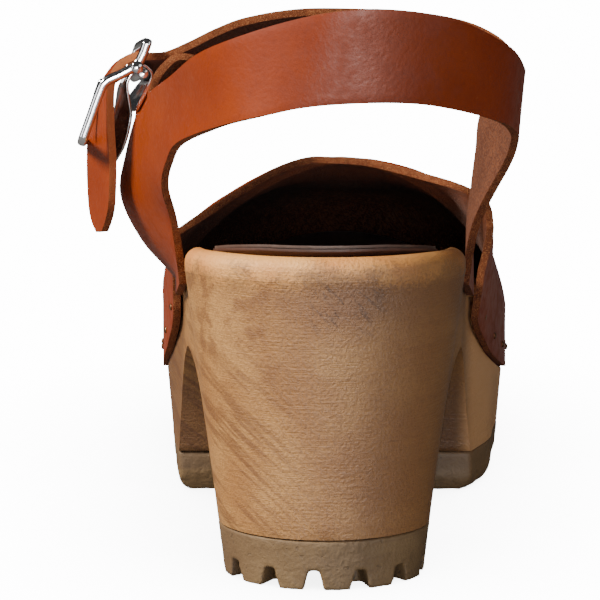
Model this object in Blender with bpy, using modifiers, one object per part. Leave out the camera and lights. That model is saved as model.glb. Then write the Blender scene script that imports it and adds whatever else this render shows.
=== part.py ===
"""Clog sandal for a left foot: wooden sole, rubber treads, leather vamp, ankle strap and buckle.

+X points to the inner side of the foot, +Y to the toe and +Z up. All sizes are in millimetres and
to_frame turns them into metres. A station is a distance forward from the back of the heel.
"""

import math

import bmesh
import bpy
import numpy as np

MM = 0.001
WELD = 0.00001
NEAR_ZERO = 0.001
SLOPE_STEP = 0.05
SHARP_ANGLE = math.radians(40)
INNER = 1
OUTER = -1

# Driving dimensions
SOLE_LENGTH = 250.0
HEEL_TREAD_HEIGHT = 12.6
FORE_TREAD_HEIGHT = 11.0
LUG_DEPTH = 4.9
LEATHER = 2.0
INSOLE_THICKNESS = 1.5
CLEARANCE = 0.3
SEAT_CLEARANCE = 0.7
RIM_ROUND = 3.4
CORNER = 1 - math.sqrt(0.5)
INSOLE_INSET = 7.0
INSOLE_LIFT = 0.6
HEEL_ROUND = 31.0
TOE_ROUND = 60.0
TOE_SWING = 4.0
TOE_TAPER = 2.0
BREAST_STATION = 63.0
FORE_REAR_STATION = 106.0
PLATFORM_STATIONS = [116, 128, 140, 152, 165, 175]
HEEL_STATIONS = [HEEL_ROUND, 42, 53]
INSOLE_STATIONS = [HEEL_ROUND, 45, 60, 75, 90, 105, 120, 140, 160, 184]
HEEL_SECTIONS = 7
TOE_SECTIONS = 9
INSOLE_SECTIONS = 6

# The point on the floor, in stations and sideways, that becomes the origin
ORIGIN_STATION = 126.4
ORIGIN_ACROSS = -6.8

# Colours, roughness and metallic value of each material
FINISHES = {
    "wood": ((0.52, 0.34, 0.19, 1.0), 0.6, 0.0),
    "tan_leather": ((0.34, 0.10, 0.03, 1.0), 0.45, 0.0),
    "insole_leather": ((0.16, 0.06, 0.03, 1.0), 0.6, 0.0),
    "crepe_rubber": ((0.30, 0.21, 0.12, 1.0), 0.7, 0.0),
    "chrome": ((0.75, 0.75, 0.77, 1.0), 0.12, 1.0),
}


def table(columns, *rows):
    """A short table, kept as one array for each named column."""
    return dict(zip(columns.split(), np.array(rows, float).T))


# The sole's rim: half widths to each side, height, how fast each wall leans in below the seat of the
# leather, how far the wall steps out there, and how deep the footbed is hollowed
SOLE = table(
    "station inner outer rim inner_lean outer_lean step dish",
    (0, 34.4, 34.4, 81.5, 0.04, 0.04, 0, 0),
    (12, 34.4, 34.4, 80.9, 0.08, 0.08, 0, 4.0),
    (30, 34.4, 34.4, 79.2, 0.137, 0.128, 0, 7.0),
    (50, 34.4, 34.6, 75.8, 0.137, 0.128, 0, 7.0),
    (70, 35.0, 35.4, 71.2, 0.11, 0.11, 0, 5.5),
    (85, 36.0, 36.3, 66.8, 0.03, 0.03, 0, 4.5),
    (100, 37.8, 37.6, 61.5, 0.02, -0.02, 0, 4.0),
    (110, 40.2, 39.2, 57.4, 0.0, 0.0, 0.5, 3.5),
    (122, 43.2, 40.8, 52.0, -0.02, 0.05, 1.2, 3.0),
    (135, 45.9, 41.8, 46.8, 0.06, 0.08, 1.5, 3.0),
    (150, 47.7, 42.4, 42.6, 0.08, 0.09, 1.5, 3.0),
    (168, 48.0, 42.6, 40.2, 0.10, 0.09, 1.5, 3.0),
    (186, 47.8, 42.4, 39.8, 0.11, 0.10, 1.5, 2.5),
    (205, 47.2, 41.6, 40.6, 0.12, 0.12, 1.5, 2.0),
    (228, 45.6, 39.4, 42.8, 0.12, 0.12, 1.5, 1.0),
    (250, 43.6, 36.6, 46.0, 0.12, 0.12, 1.5, 0),
)
# How far the seat of the leather reaches down below the rim
SEAT = table(
    "station depth",
    (0, 5.0),
    (88, 5.0),
    (97, 11.5),
    (108, 16.0),
    (120, 18.0),
    (140, 17.5),
    (200, 16.0),
    (250, 15.0),
)

# The underside of the wood: heel seat, breast, arch, platform and toe spring
UNDERSIDE = table(
    "station height",
    (0, HEEL_TREAD_HEIGHT),
    (BREAST_STATION, HEEL_TREAD_HEIGHT),
    (64.5, 17.0),
    (67.0, 26.0),
    (71.0, 35.0),
    (77.0, 42.0),
    (84.0, 44.0),
    (91.0, 40.5),
    (97.0, 32.5),
    (101.5, 23.0),
    (104.5, 15.0),
    (FORE_REAR_STATION, FORE_TREAD_HEIGHT),
    (200, FORE_TREAD_HEIGHT),
    (216, 12.2),
    (233, 16.0),
    (250, 22.0),
)

# The strap from the outer leg, round the heel, to the inner leg. Each row is a cross line of the
# leather, from its heel-side or lower edge to its toe-side or upper edge.
HEEL_STRAP = table(
    "low_x low_station low_z high_x high_station high_z",
    (-37.4, 62, 76.0, -46.8, 87, 72.0),
    (-38.4, 59, 82.5, -52.0, 83, 84.0),
    (-39.9, 50, 91.5, -50.6, 81, 94.5),
    (-38.5, 42, 98.5, -47.5, 74, 105.0),
    (-35.8, 34, 104.1, -43.6, 62, 113.0),
    (-28.5, 20, 109.3, -37.5, 40, 120.0),
    (-18.0, 7, 114.0, -26.0, 15, 130.5),
    (0.0, 2, 118.0, 2.0, 2, 140.0),
    (22.0, 6, 117.8, 27.0, 8, 138.5),
    (40.0, 21, 112.1, 42.5, 21, 130.5),
    (46.0, 35, 107.0, 48.0, 40, 122.0),
    (46.3, 41, 102.5, 47.3, 56, 120.0),
    (44.8, 45, 97.5, 43.8, 69, 113.0),
    (42.4, 48, 92.5, 40.2, 77, 105.0),
    (39.8, 52, 86.5, 39.4, 79, 96.0),
    (37.8, 57, 80.5, 38.4, 81, 86.5),
    (36.9, 61, 75.0, 37.6, 84, 76.5),
)
LEG_FEET = table(
    "low_station low_z high_station high_z",
    (66, 68, 91, 61),
    (67.5, 63.5, 92, 56),
)
# The ear curls in from the top of the outer leg, and the instep strap starts on the inner leg. Each
# shares the upper edge of the heel strap between two of its rows, counted from the outer leg's foot.
EAR_BASE = (5, 6)
INSTEP_BASE = (13, 15)
STEPS = 4
EAR = table(
    "low_x low_station low_z high_x high_station high_z",
    (-46.8, 74.3, 108.4, -42.6, 62.5, 116.5),
    (-44.9, 74.6, 110.0, -40.5, 63, 119.6),
    (-41.2, 75.4, 110.4, -37.3, 64, 122.0),
    (-35.0, 77.5, 111.6, -32.6, 65, 121.6),
    (-31.5, 77, 111.6, -29.8, 66, 119.5),
)

# The instep strap, from the inner leg over the foot to the buckle
INSTEP_STRAP = table(
    "low_x low_station low_z high_x high_station high_z",
    (45.0, 65, 124.8, 42.5, 86, 112.5),
    (38.0, 71, 128.5, 37.0, 91, 119.5),
    (27.0, 74.5, 130.8, 26.5, 93.5, 123.8),
    (12.0, 76, 132.0, 12.0, 94.5, 125.8),
    (-6.0, 76, 132.0, -6.0, 94, 126.0),
    (-19.4, 76, 130.0, -19.4, 94, 124.6),
    (-27.0, 75.5, 127.4, -27.4, 93.5, 120.8),
    (-34.0, 75, 124.0, -34.8, 92.6, 117.0),
)

# The buckle has its own directions: across the strap, outward from the ankle, and up
BUCKLE_X = -47.0
BUCKLE_STATION = 72.0
BUCKLE_TURN = math.radians(9)
BUCKLE_DROP = 0.17
FRAME_WIDTH = 21.0
FRAME_WIRE = 1.25
BAR_RADIUS = 1.2
BAR_OUT = -0.8
BAR_Z = 116.8
PRONG_RADIUS = 0.8
STRAP_WIDTH = 17.4
HOOK_WIDTH = 12.0
HOOK_THICKNESS = 0.8

# The strap over the bar and its hanging tail: middle of the strap, twist in degrees, share of the
# width, and how far its front edge dips
STRAP_IN_BUCKLE = table(
    "out z turn width dip",
    (-7.2, 121.6, 0, 1.0, 3.5),
    (-3.0, 121.2, 0, 1.0, 1.0),
    (0.3, 121.5, 0, 1.0, 0),
    (3.6, 120.2, 0, 1.0, 0),
    (6.0, 117.5, 0, 1.0, 0),
    (7.6, 114.0, 3, 1.0, 0),
    (8.6, 109.5, 8, 1.0, 0),
    (9.1, 103.0, 12, 1.0, 0),
    (9.1, 96.3, 14, 1.0, 0),
    (9.1, 89.5, 14, 0.98, 0),
    (9.1, 83.0, 14, 0.86, 0),
    (9.1, 79.2, 14, 0.60, 0),
    (9.0, 76.4, 14, 0.22, 0),
)
# The side of the frame that is nearer the heel, and how much closer in the other side lies
FRAME_PROFILE = table(
    "out z closer",
    (-1.9, 124.8, 0),
    (-0.8, 121.8, 0),
    (1.0, 119.0, 0),
    (4.6, 116.9, 0.5),
    (8.9, 114.8, 1.2),
    (10.7, 111.3, 1.6),
    (12.8, 105.6, 1.8),
    (14.8, 100.2, 1.8),
)
PRONG_PROFILE = table(
    "out z",
    (8.8, 116.2),
    (10.2, 112.0),
    (11.9, 106.8),
    (13.8, 102.6),
)
HOOK_PROFILE = table(
    "out z turn width",
    (1.6, 107.5, 16, 0.7),
    (0.4, 110.5, 15, 1.0),
    (-1.6, 113.8, 10, 1.0),
    (-3.2, 117.1, 3, 1.0),
    (-0.9, 119.4, 0, 1.0),
    (1.3, 117.5, 0, 1.0),
    (3.2, 114.5, 4, 1.0),
    (3.4, 110.5, 10, 1.0),
    (3.5, 106.7, 16, 1.0),
    (4.4, 102.7, 19, 1.0),
    (5.5, 98.2, 20, 0.85),
    (6.3, 94.4, 20, 0.3),
)

# Ribs of the vamp, from the outer rear corner round the toe to the inner rear corner. Each rib starts
# on the sole's side and ends on the collar or on the ridge over the toes. At the rear the leather spreads
# away from the wood towards the rim.
VAMP = table(
    "side station top_x top_station top_z rise flare reach drop spread",
    (OUTER, 98, -39.6, 98, 70.2, 3, 1.0, 0.5, 2.5, 0),
    (OUTER, 106, -32.0, 106, 73.8, 7, 1.5, 4, 3, 0),
    (OUTER, 116, -23.0, 116.5, 78.4, 10, 2.0, 9, 4.5, 0),
    (OUTER, 129, -11.5, 131.5, 82.5, 12, 2.0, 15, 5.5, 0),
    (OUTER, 138, -3.5, 139, 83.8, 12.5, 1.7, 19, 4, 0),
    (OUTER, 146, 4.5, 142, 83.4, 13, 1.5, 22, 1.5, 0),
    (OUTER, 162, 5.0, 153.5, 80.9, 14, 1.0, 24, 1.5, 0),
    (OUTER, 180, 5.5, 166.5, 77.8, 16, 0.5, 25, 1.5, 0),
    (OUTER, 200, 6.0, 179.5, 74.0, 20, 0.5, 25, 2, 0),
    (OUTER, 222, 6.5, 190, 70.6, 20, 0.5, 24, 3, 0),
    (OUTER, 240, 6.5, 197, 68.4, 20, 0.5, 24, 5, 0),
    (INNER, 250, 6.0, 200, 67.6, 20, 0.5, 26, 6, 0),
    (INNER, 240, 6.5, 197, 68.4, 20, 0.5, 24, 5, 0),
    (INNER, 222, 6.5, 190, 70.6, 20, 0.0, 24, 3, 0),
    (INNER, 200, 6.0, 179.5, 74.0, 20, -0.5, 24, 2, 0),
    (INNER, 180, 5.5, 166.5, 77.8, 20, -1.0, 24, 1, 0),
    (INNER, 162, 5.0, 153.5, 80.9, 20, -1.8, 24, 1, 0),
    (INNER, 148, 4.5, 142, 83.4, 19, -2.5, 23, 1, 0),
    (INNER, 142, 11.0, 141, 83.0, 19, -2.4, 19, 1, 0),
    (INNER, 136, 17.5, 137, 82.2, 19.5, -2.2, 15, 1, 0),
    (INNER, 127, 27.0, 128.5, 80.9, 17, -1.4, 9, 3, 0.2),
    (INNER, 116, 36.6, 116, 79.8, 13, 0.8, 4, 5, 0.8),
    (INNER, 107, 41.6, 106, 78.0, 9, 1.8, 1.5, 6, 1.5),
    (INNER, 100, 42.6, 99, 73.0, 6, 1.4, 0.5, 5, 1.8),
)
# First and last rib of the outer collar, the ridge to the toe, the ridge back and the inner collar
VAMP_SPANS = ((0, 5, OUTER), (5, 11, OUTER), (11, 17, INNER), (17, 23, INNER))
VAMP_STEPS = 4
RIB_POINTS = 8

# Lugs: the pitch of the notches round each tread and the notch's own sizes
NOTCH_PITCH = 11.4
NOTCH_OFFSET = -2.6
NOTCH_FLOOR_WIDTH = 5.2
NOTCH_TOP_WIDTH = 2.6
NOTCH_LENGTH = 9.0
NOTCH_OVERRUN = 2.0
FORE_NOTCH_PITCH = 13.0
FORE_NOTCH_LENGTH = 12.0
GROOVE_LENGTH = BREAST_STATION + 20
# The rounded lower edge of the forefoot tread: how far in, and how high, at each point of its section
FORE_EDGE = table(
    "inset height",
    (2.6, 0),
    (0.8, 1.8),
    (0, 5.0),
)


def smooth(xs, ys, x):
    """A value of the table column ys at x, on a curve that doesn't overshoot its rows."""
    gaps = np.diff(xs)
    rates = np.diff(ys) / gaps
    slopes = np.concatenate([[rates[0]], np.zeros(len(xs) - 2), [rates[-1]]])
    for i in range(1, len(xs) - 1):
        if rates[i - 1] * rates[i] > 0:
            before = 2 * gaps[i] + gaps[i - 1]
            after = gaps[i] + 2 * gaps[i - 1]
            slopes[i] = (before + after) / (before / rates[i - 1] + after / rates[i])
    i = int(np.clip(np.searchsorted(xs, x, "right") - 1, 0, len(gaps) - 1))
    t = (x - xs[i]) / gaps[i]
    ease = t * t * (3 - 2 * t)
    bend = gaps[i] * t * (1 - t) * (slopes[i] * (1 - t) - slopes[i + 1] * t)
    return ys[i] + (ys[i + 1] - ys[i]) * ease + bend


def through(rows, steps):
    """A smooth path through rows of numbers, with a number of steps from row to row."""
    rows = np.array(rows, float)
    padded = np.vstack([2 * rows[0] - rows[1], rows, 2 * rows[-1] - rows[-2]])
    path = []
    for a, b, c, d in zip(padded, padded[1:], padded[2:], padded[3:]):
        for t in np.arange(steps) / steps:
            bend = 2 * a - 5 * b + 4 * c - d
            twist = 3 * b - a - 3 * c + d
            path.append(b + 0.5 * (t * (c - a) + t * t * bend + t ** 3 * twist))
    path.append(rows[-1])
    return np.array(path)


def columns(rows):
    """The rows of a table, as one array."""
    return np.array(list(rows.values())).T


def end_share(station):
    """The share of the full width left where the outline rounds off at heel and toe."""
    heel = max(0.0, 1 - station / HEEL_ROUND)
    toe = max(0.0, (station - SOLE_LENGTH + TOE_ROUND) / TOE_ROUND)
    return math.sqrt(max(0.0, 1 - heel ** 2)) * math.sqrt(max(0.0, 1 - toe ** 2))


def rim(side, station):
    """A point on the sole's top edge."""
    column = SOLE["inner"] if side == INNER else SOLE["outer"]
    toe = max(0.0, (station - SOLE_LENGTH + TOE_ROUND) / TOE_ROUND)
    x = TOE_SWING * toe ** 2 + side * smooth(SOLE["station"], column, station) * end_share(station)
    return np.array([x, station, smooth(SOLE["station"], SOLE["rim"], station)])


def outward(side, station):
    """The direction straight out from the sole's outline, level with the floor."""
    if station <= 0 or station >= SOLE_LENGTH:
        return np.array([0.0, -1.0 if station <= 0 else 1.0, 0.0])
    step = min(SLOPE_STEP, station / 4, (SOLE_LENGTH - station) / 4)
    along = rim(side, station + step) - rim(side, station - step)
    normal = np.array([along[1], -along[0], 0.0]) * side
    return normal / np.linalg.norm(normal)


def seat_end(side, station):
    """The height where the seat of the leather ends on the sole's side."""
    return rim(side, station)[2] - smooth(SEAT["station"], SEAT["depth"], station)


def seat(side, station, z, clear):
    """A point on the upright band under the rim that the vamp is nailed to, or just off it."""
    point = rim(side, station) + outward(side, station) * clear
    point[2] = z
    return point


def wall(side, station, z, clear=0.0):
    """A point on the sole's side wall below that band, or a little way out from it."""
    lean = smooth(SOLE["station"], SOLE["inner_lean" if side == INNER else "outer_lean"], station)
    step = smooth(SOLE["station"], SOLE["step"], station)
    return seat(side, station, z, clear + step - lean * (seat_end(side, station) - z))


def beside_sole(point):
    """A point of the strap, kept outside the sole's wall below the rim."""
    side = INNER if point[0] > 0 else OUTER
    station = min(max(point[1], 0.0), SOLE_LENGTH)
    if point[2] < rim(side, station)[2]:
        nearest = wall(side, station, point[2], CLEARANCE + LEATHER / 2)
        if side * point[0] < side * nearest[0]:
            return nearest
    return point


def underside(station):
    return smooth(UNDERSIDE["station"], UNDERSIDE["height"], station)


def footbed(station, across):
    """A point on the dished top of the wood; across runs from -1 at the outer rim to 1."""
    ends = [rim(side, station) - RIM_ROUND * outward(side, station) for side in (OUTER, INNER)]
    point = ends[0] + (ends[1] - ends[0]) * (across + 1) / 2
    point[2] -= smooth(SOLE["station"], SOLE["dish"], station) * (1 - across ** 2)
    return point


def end_stations(reach, count):
    """Distances from a round end of the outline that crowd together towards it."""
    return [reach * (1 - math.cos(math.pi / 2 * k / count)) for k in range(count)]


def material(name):
    """A plain material for one kind of surface."""
    made = bpy.data.materials.get(name)
    if made is None:
        made = bpy.data.materials.new(name)
        made.use_nodes = True
        shader = made.node_tree.nodes["Principled BSDF"]
        colour, roughness, metallic = FINISHES[name]
        shader.inputs["Base Color"].default_value = colour
        shader.inputs["Roughness"].default_value = roughness
        shader.inputs["Metallic"].default_value = metallic
    return made


def to_frame(point):
    """A point given by side, station and height in millimetres, in metres about the origin."""
    return ((point[0] - ORIGIN_ACROSS) * MM, (point[1] - ORIGIN_STATION) * MM, point[2] * MM)


def mesh_object(name, points, faces, finish, collection):
    """A mesh with doubled points welded and its faces turned out."""
    shape = bmesh.new()
    made = [shape.verts.new(to_frame(point)) for point in points]
    for face in faces:
        shape.faces.new([made[i] for i in face])
    bmesh.ops.remove_doubles(shape, verts=shape.verts, dist=WELD)
    bmesh.ops.recalc_face_normals(shape, faces=shape.faces)
    mesh = bpy.data.meshes.new(name)
    shape.to_mesh(mesh)
    shape.free()
    mesh.shade_smooth()
    mesh.set_sharp_from_angle(angle=SHARP_ANGLE)
    mesh.materials.append(material(finish))
    part = bpy.data.objects.new(name, mesh)
    collection.objects.link(part)
    return part


def grid_faces(rows, width, start=0, closed=False):
    """Quads over rows of points; a closed grid joins the last point of a row to its first."""
    faces = []
    for i in range(rows - 1):
        for j in range(width if closed else width - 1):
            a = start + i * width
            k = (j + 1) % width
            faces.append((a + j, a + k, a + width + k, a + width + j))
    return faces


def loft(name, rings, finish, collection):
    """A closed body through rings of points; an end ring that isn't a point is capped."""
    width = len(rings[0])
    points = [point for ring in rings for point in ring]
    faces = grid_faces(len(rings), width, closed=True)
    for first in (0, (len(rings) - 1) * width):
        ring = np.array(points[first:first + width])
        if np.ptp(ring[:, 0]) > NEAR_ZERO:
            faces.append(tuple(range(first, first + width)))
    return mesh_object(name, points, faces, finish, collection)


def thicken(part, thickness, offset):
    """Gives an open sheet its thickness; offset -1 or 1 keeps all of it on one side."""
    shell = part.modifiers.new("Thickness", "SOLIDIFY")
    shell.thickness = thickness * MM
    shell.offset = offset
    shell.use_even_offset = True
    shell.use_quality_normals = True


def heel_stations():
    """The stations from the back of the heel to its straight sides."""
    return end_stations(HEEL_ROUND, HEEL_SECTIONS) + HEEL_STATIONS


def toe_stations(count):
    """The stations of the round toe, up to its tip."""
    return sorted(SOLE_LENGTH - station for station in end_stations(TOE_ROUND, count))


def sole_stations():
    """The stations of the wood's sections, from heel to toe."""
    arch = [station for station in UNDERSIDE["station"] if BREAST_STATION <= station <= FORE_REAR_STATION]
    return heel_stations() + arch + PLATFORM_STATIONS + toe_stations(TOE_SECTIONS)


def make_wood_sole(collection):
    """Heel, arch and platform in one piece, lofted through closed sections."""
    rings = []
    for station in sole_stations():
        ring = []
        low = underside(station)
        for side in (OUTER, INNER):
            top = rim(side, station)[2]
            end = seat_end(side, station) - SEAT_CLEARANCE
            up = [wall(side, station, z) for z in (low, (low + end) / 2, end)]
            up.append(seat(side, station, end, 0.0))
            up.append(seat(side, station, top - RIM_ROUND, 0.0))
            up.append(seat(side, station, top - RIM_ROUND * CORNER, -RIM_ROUND * CORNER))
            up.append(footbed(station, side))
            ring += up if side == OUTER else up[::-1]
            if side == OUTER:
                ring += [footbed(station, across) for across in (-0.6, -0.2, 0.2, 0.6)]
        rings.append(ring)
    return loft("wood_sole", rings, "wood", collection)


def make_insole(collection):
    """A leather sock on the footbed, set in from the rim."""
    stations = end_stations(HEEL_ROUND, INSOLE_SECTIONS) + INSOLE_STATIONS
    stations += toe_stations(INSOLE_SECTIONS)[1:]
    points = []
    shares = np.linspace(-1, 1, 7)
    for station in stations:
        ends = [rim(side, station) - INSOLE_INSET * outward(side, station) for side in (OUTER, INNER)]
        width = np.linalg.norm(rim(INNER, station) - rim(OUTER, station)) / 2
        for across in shares:
            point = ends[0] + (ends[1] - ends[0]) * (across + 1) / 2
            inner_share = across * np.linalg.norm(ends[1] - ends[0]) / 2 / max(width - RIM_ROUND, 1)
            point[2] -= smooth(SOLE["station"], SOLE["dish"], station) * (1 - min(1, inner_share ** 2))
            point[2] += INSOLE_LIFT
            points.append(point)
    faces = grid_faces(len(stations), len(shares))
    insole = mesh_object("insole", points, faces, "insole_leather", collection)
    thicken(insole, INSOLE_THICKNESS, 1)
    return insole


def notch(shape, point, inward, height, length):
    """Adds one wedge to the cutter: wide at the floor, narrow at the top of the lugs."""
    made = bmesh.ops.create_cube(shape, size=1.0)["verts"]
    across = np.array([-inward[1], inward[0], 0.0])
    for vert in made:
        along, side, up = vert.co
        width = NOTCH_TOP_WIDTH if up > 0 else NOTCH_FLOOR_WIDTH
        spot = point + inward * (length * (along + 0.5) - NOTCH_OVERRUN) + across * side * width
        spot[2] = height if up > 0 else -NOTCH_OVERRUN
        vert.co = to_frame(spot)


def cut_notches(part, name, notches, cutters):
    """Cuts the gaps between the lugs out of a tread."""
    shape = bmesh.new()
    for point, inward, height, length in notches:
        notch(shape, point, inward, height, length)
    bmesh.ops.recalc_face_normals(shape, faces=shape.faces)
    mesh = bpy.data.meshes.new(name)
    shape.to_mesh(mesh)
    shape.free()
    cutter = bpy.data.objects.new(name, mesh)
    cutter.hide_render = True
    cutter.display_type = "WIRE"
    cutters.objects.link(cutter)
    cut = part.modifiers.new("Lugs", "BOOLEAN")
    cut.operation = "DIFFERENCE"
    cut.object = cutter


def along_outline(outline, offset, pitch):
    """Points at an even pitch along an open outline, counted both ways from its middle."""
    steps = np.linalg.norm(np.diff(outline, axis=0), axis=1)
    length = np.concatenate([[0], np.cumsum(steps)])
    middle = length[len(length) // 2] + offset
    first = middle - pitch * math.floor((middle - pitch * 0.6) / pitch)
    spots = []
    for at in np.arange(first, length[-1] - pitch * 0.5, pitch):
        i = int(np.searchsorted(length, at) - 1)
        t = (at - length[i]) / steps[i]
        point = outline[i] + (outline[i + 1] - outline[i]) * t
        along = outline[i + 1] - outline[i]
        inward = np.array([-along[1], along[0], 0.0]) / np.linalg.norm(along)
        spots.append((point, inward))
    return spots


def make_heel_tread(collection, cutters):
    """The rubber lift under the heel, with lugs round its edge and one groove along it."""
    top = HEEL_TREAD_HEIGHT - CLEARANCE
    stations = heel_stations() + [BREAST_STATION]
    rings = []
    for station in stations:
        rings.append([
            wall(OUTER, station, 0.0),
            wall(OUTER, station, top),
            wall(INNER, station, top),
            wall(INNER, station, 0.0),
        ])
    tread = loft("heel_tread", rings, "crepe_rubber", collection)
    outline = [wall(OUTER, station, 0.0) for station in reversed(stations)]
    outline += [wall(INNER, station, 0.0) for station in stations[1:]]
    spots = along_outline(np.array(outline), NOTCH_OFFSET, NOTCH_PITCH)
    notches = []
    for point, inward in spots:
        through_heel = abs(point[0] - NOTCH_OFFSET) < NOTCH_TOP_WIDTH / 2
        direction = np.array([0.0, 1.0, 0.0]) if through_heel else inward
        length = GROOVE_LENGTH if through_heel else NOTCH_LENGTH
        notches.append((point, direction, LUG_DEPTH, length))
    cut_notches(tread, "heel_notches", notches, cutters)
    return tread


def make_forefoot_tread(collection, cutters):
    """The rubber under the platform, bevelled at the bottom and notched along its edge."""
    stations = [FORE_REAR_STATION] + PLATFORM_STATIONS + toe_stations(TOE_SECTIONS)
    rings = []
    for station in stations:
        top = underside(station) - CLEARANCE
        low = underside(station) - FORE_TREAD_HEIGHT
        share = min(1.0, (SOLE_LENGTH - station) / TOE_TAPER)
        ring = []
        for side in (OUTER, INNER):
            up = [wall(side, station, low + height, -inset * share) for inset, height in columns(FORE_EDGE)]
            up.append(wall(side, station, top))
            if station == FORE_REAR_STATION:
                for point, inset in zip(up, FORE_EDGE["inset"]):
                    point[1] += inset / 2
            ring += up if side == OUTER else up[::-1]
        rings.append(ring)
    tread = loft("forefoot_tread", rings, "crepe_rubber", collection)
    outline = [wall(OUTER, station, 0.0) for station in stations]
    outline += [wall(INNER, station, 0.0) for station in reversed(stations[:-1])]
    notches = []
    for point, inward in along_outline(np.array(outline)[::-1], 0.0, FORE_NOTCH_PITCH):
        spring = underside(point[1]) - FORE_TREAD_HEIGHT
        notches.append((point, inward, LUG_DEPTH + spring, FORE_NOTCH_LENGTH))
    cut_notches(tread, "forefoot_notches", notches, cutters)
    return tread


def leg_rows(side):
    """The cross lines of a leg's foot, which lies on the sole's side wall."""
    rows = []
    clear = CLEARANCE + LEATHER / 2
    for low_station, low_z, high_station, high_z in columns(LEG_FEET):
        low = wall(side, low_station, low_z, clear)
        high = wall(side, high_station, high_z, clear)
        rows.append(np.concatenate([low, high]))
    return rows


def buckle_point(across, out, z):
    """A point given in the buckle's own directions."""
    x = BUCKLE_X - across * math.sin(BUCKLE_TURN) - out * math.cos(BUCKLE_TURN)
    station = BUCKLE_STATION + across * math.cos(BUCKLE_TURN) - out * math.sin(BUCKLE_TURN)
    return np.array([x, station, z - across * BUCKLE_DROP])


def strap_in_buckle():
    """The cross lines of the strap where it runs through the buckle and hangs as its tail."""
    rows = []
    middle = FRAME_WIDTH / 2
    for out, z, turn, width, dip in columns(STRAP_IN_BUCKLE):
        half = STRAP_WIDTH * width / 2
        swing = half * math.sin(math.radians(turn))
        low = buckle_point(middle - half * math.cos(math.radians(turn)), out - swing, z)
        high = buckle_point(middle + half * math.cos(math.radians(turn)), out + swing, z - dip)
        rows.append(np.concatenate([low, high]))
    return rows


def instep_rows():
    """The cross lines of the instep strap, from the inner leg to the tip of its tail."""
    return list(columns(INSTEP_STRAP)) + strap_in_buckle()


def sheet_points(rows, shares):
    """Points across each cross line of a strap."""
    return [row[:3] + (row[3:] - row[:3]) * share for row in rows for share in shares]


def make_ankle_strap(collection):
    """Legs, heel band and instep strap as one sheet of leather, then thickened."""
    heel_rows = leg_rows(OUTER)[::-1] + list(columns(HEEL_STRAP)) + leg_rows(INNER)
    heel_path = through(heel_rows, STEPS)
    shares = np.linspace(0, 1, 5)
    points = [beside_sole(point) for point in sheet_points(heel_path, shares)]
    faces = grid_faces(len(heel_path), len(shares))
    branches = ((EAR_BASE, columns(EAR)), (INSTEP_BASE, instep_rows()))
    for (first, last), rows in branches:
        base = heel_path[first * STEPS:last * STEPS + 1, 3:]
        path = through([np.concatenate([base[0], base[-1]]), *rows], STEPS)
        faces += grid_faces(len(path), len(base), start=len(points))
        points += list(base) + sheet_points(path[1:], np.linspace(0, 1, len(base)))
    leather = mesh_object("ankle_strap", points, faces, "tan_leather", collection)
    thicken(leather, LEATHER, 0)
    return leather


def vamp_rib(row):
    """Points of one rib: up the sole's side, then in a curve to the collar or the ridge."""
    side, station, top_x, top_station, top_z, rise, flare, reach, drop, spread = row
    side = INNER if side > 0 else OUTER
    station = min(station, SOLE_LENGTH)
    high = rim(side, station)[2]
    low = seat_end(side, station)
    lower, middle, foot = (
        seat(side, station, low + (high - low) * share, SEAT_CLEARANCE + spread * share)
        for share in (0, 0.5, 1)
    )
    top = np.array([top_x, top_station, top_z])
    inward = (foot - top) * np.array([1, 1, 0])
    inward = inward / max(np.linalg.norm(inward), NEAR_ZERO)
    raised = foot + outward(side, station) * flare + np.array([0, 0, rise])
    near_top = top + inward * reach - np.array([0, 0, drop])
    rib = []
    for t in np.linspace(0, 1, RIB_POINTS):
        weights = ((1 - t) ** 3, 3 * t * (1 - t) ** 2, 3 * t * t * (1 - t), t ** 3)
        rib.append(sum(w * p for w, p in zip(weights, (foot, raised, near_top, top))))
    return [lower, middle, *rib]


def make_vamp(collection):
    """The closed-toe front: one wall through ribs that stand on the sole's side."""
    rows = columns(VAMP)
    ribs = []
    for first, last, side in VAMP_SPANS:
        span = through(rows[first:last + 1], VAMP_STEPS)
        span[:, 0] = side
        ribs += [vamp_rib(row) for row in (span[1:] if ribs else span)]
    points = [point for rib in ribs for point in rib]
    faces = grid_faces(len(ribs), len(ribs[0]))
    vamp = mesh_object("vamp", points, faces, "tan_leather", collection)
    thicken(vamp, LEATHER, 1)
    return vamp


def wire(name, points, radius, finish, collection, closed=False):
    """A round wire along points."""
    curve = bpy.data.curves.new(name, "CURVE")
    curve.dimensions = "3D"
    curve.bevel_depth = radius * MM
    curve.bevel_resolution = 2
    curve.use_fill_caps = not closed
    spline = curve.splines.new("POLY")
    spline.points.add(len(points) - 1)
    for spot, point in zip(spline.points, points):
        spot.co = (*to_frame(point), 1.0)
    spline.use_cyclic_u = closed
    curve.materials.append(material(finish))
    part = bpy.data.objects.new(name, curve)
    collection.objects.link(part)
    return part


def make_buckle(collection):
    """The bent wire frame, the bar under it and the prong on the strap."""
    side = through(columns(FRAME_PROFILE), 2)
    near = [buckle_point(0.0, out, z) for out, z, _ in side]
    far = [buckle_point(FRAME_WIDTH, out - closer, z) for out, z, closer in side[::-1]]
    wire("buckle_frame", near + far, FRAME_WIRE, "chrome", collection, closed=True)
    ends = (-FRAME_WIRE, FRAME_WIDTH + FRAME_WIRE)
    bar = [buckle_point(across, BAR_OUT, BAR_Z) for across in ends]
    wire("buckle_bar", bar, BAR_RADIUS, "chrome", collection)
    prong = [buckle_point(FRAME_WIDTH / 2, out, z) for out, z in through(columns(PRONG_PROFILE), 2)]
    wire("buckle_prong", prong, PRONG_RADIUS, "chrome", collection)


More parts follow.
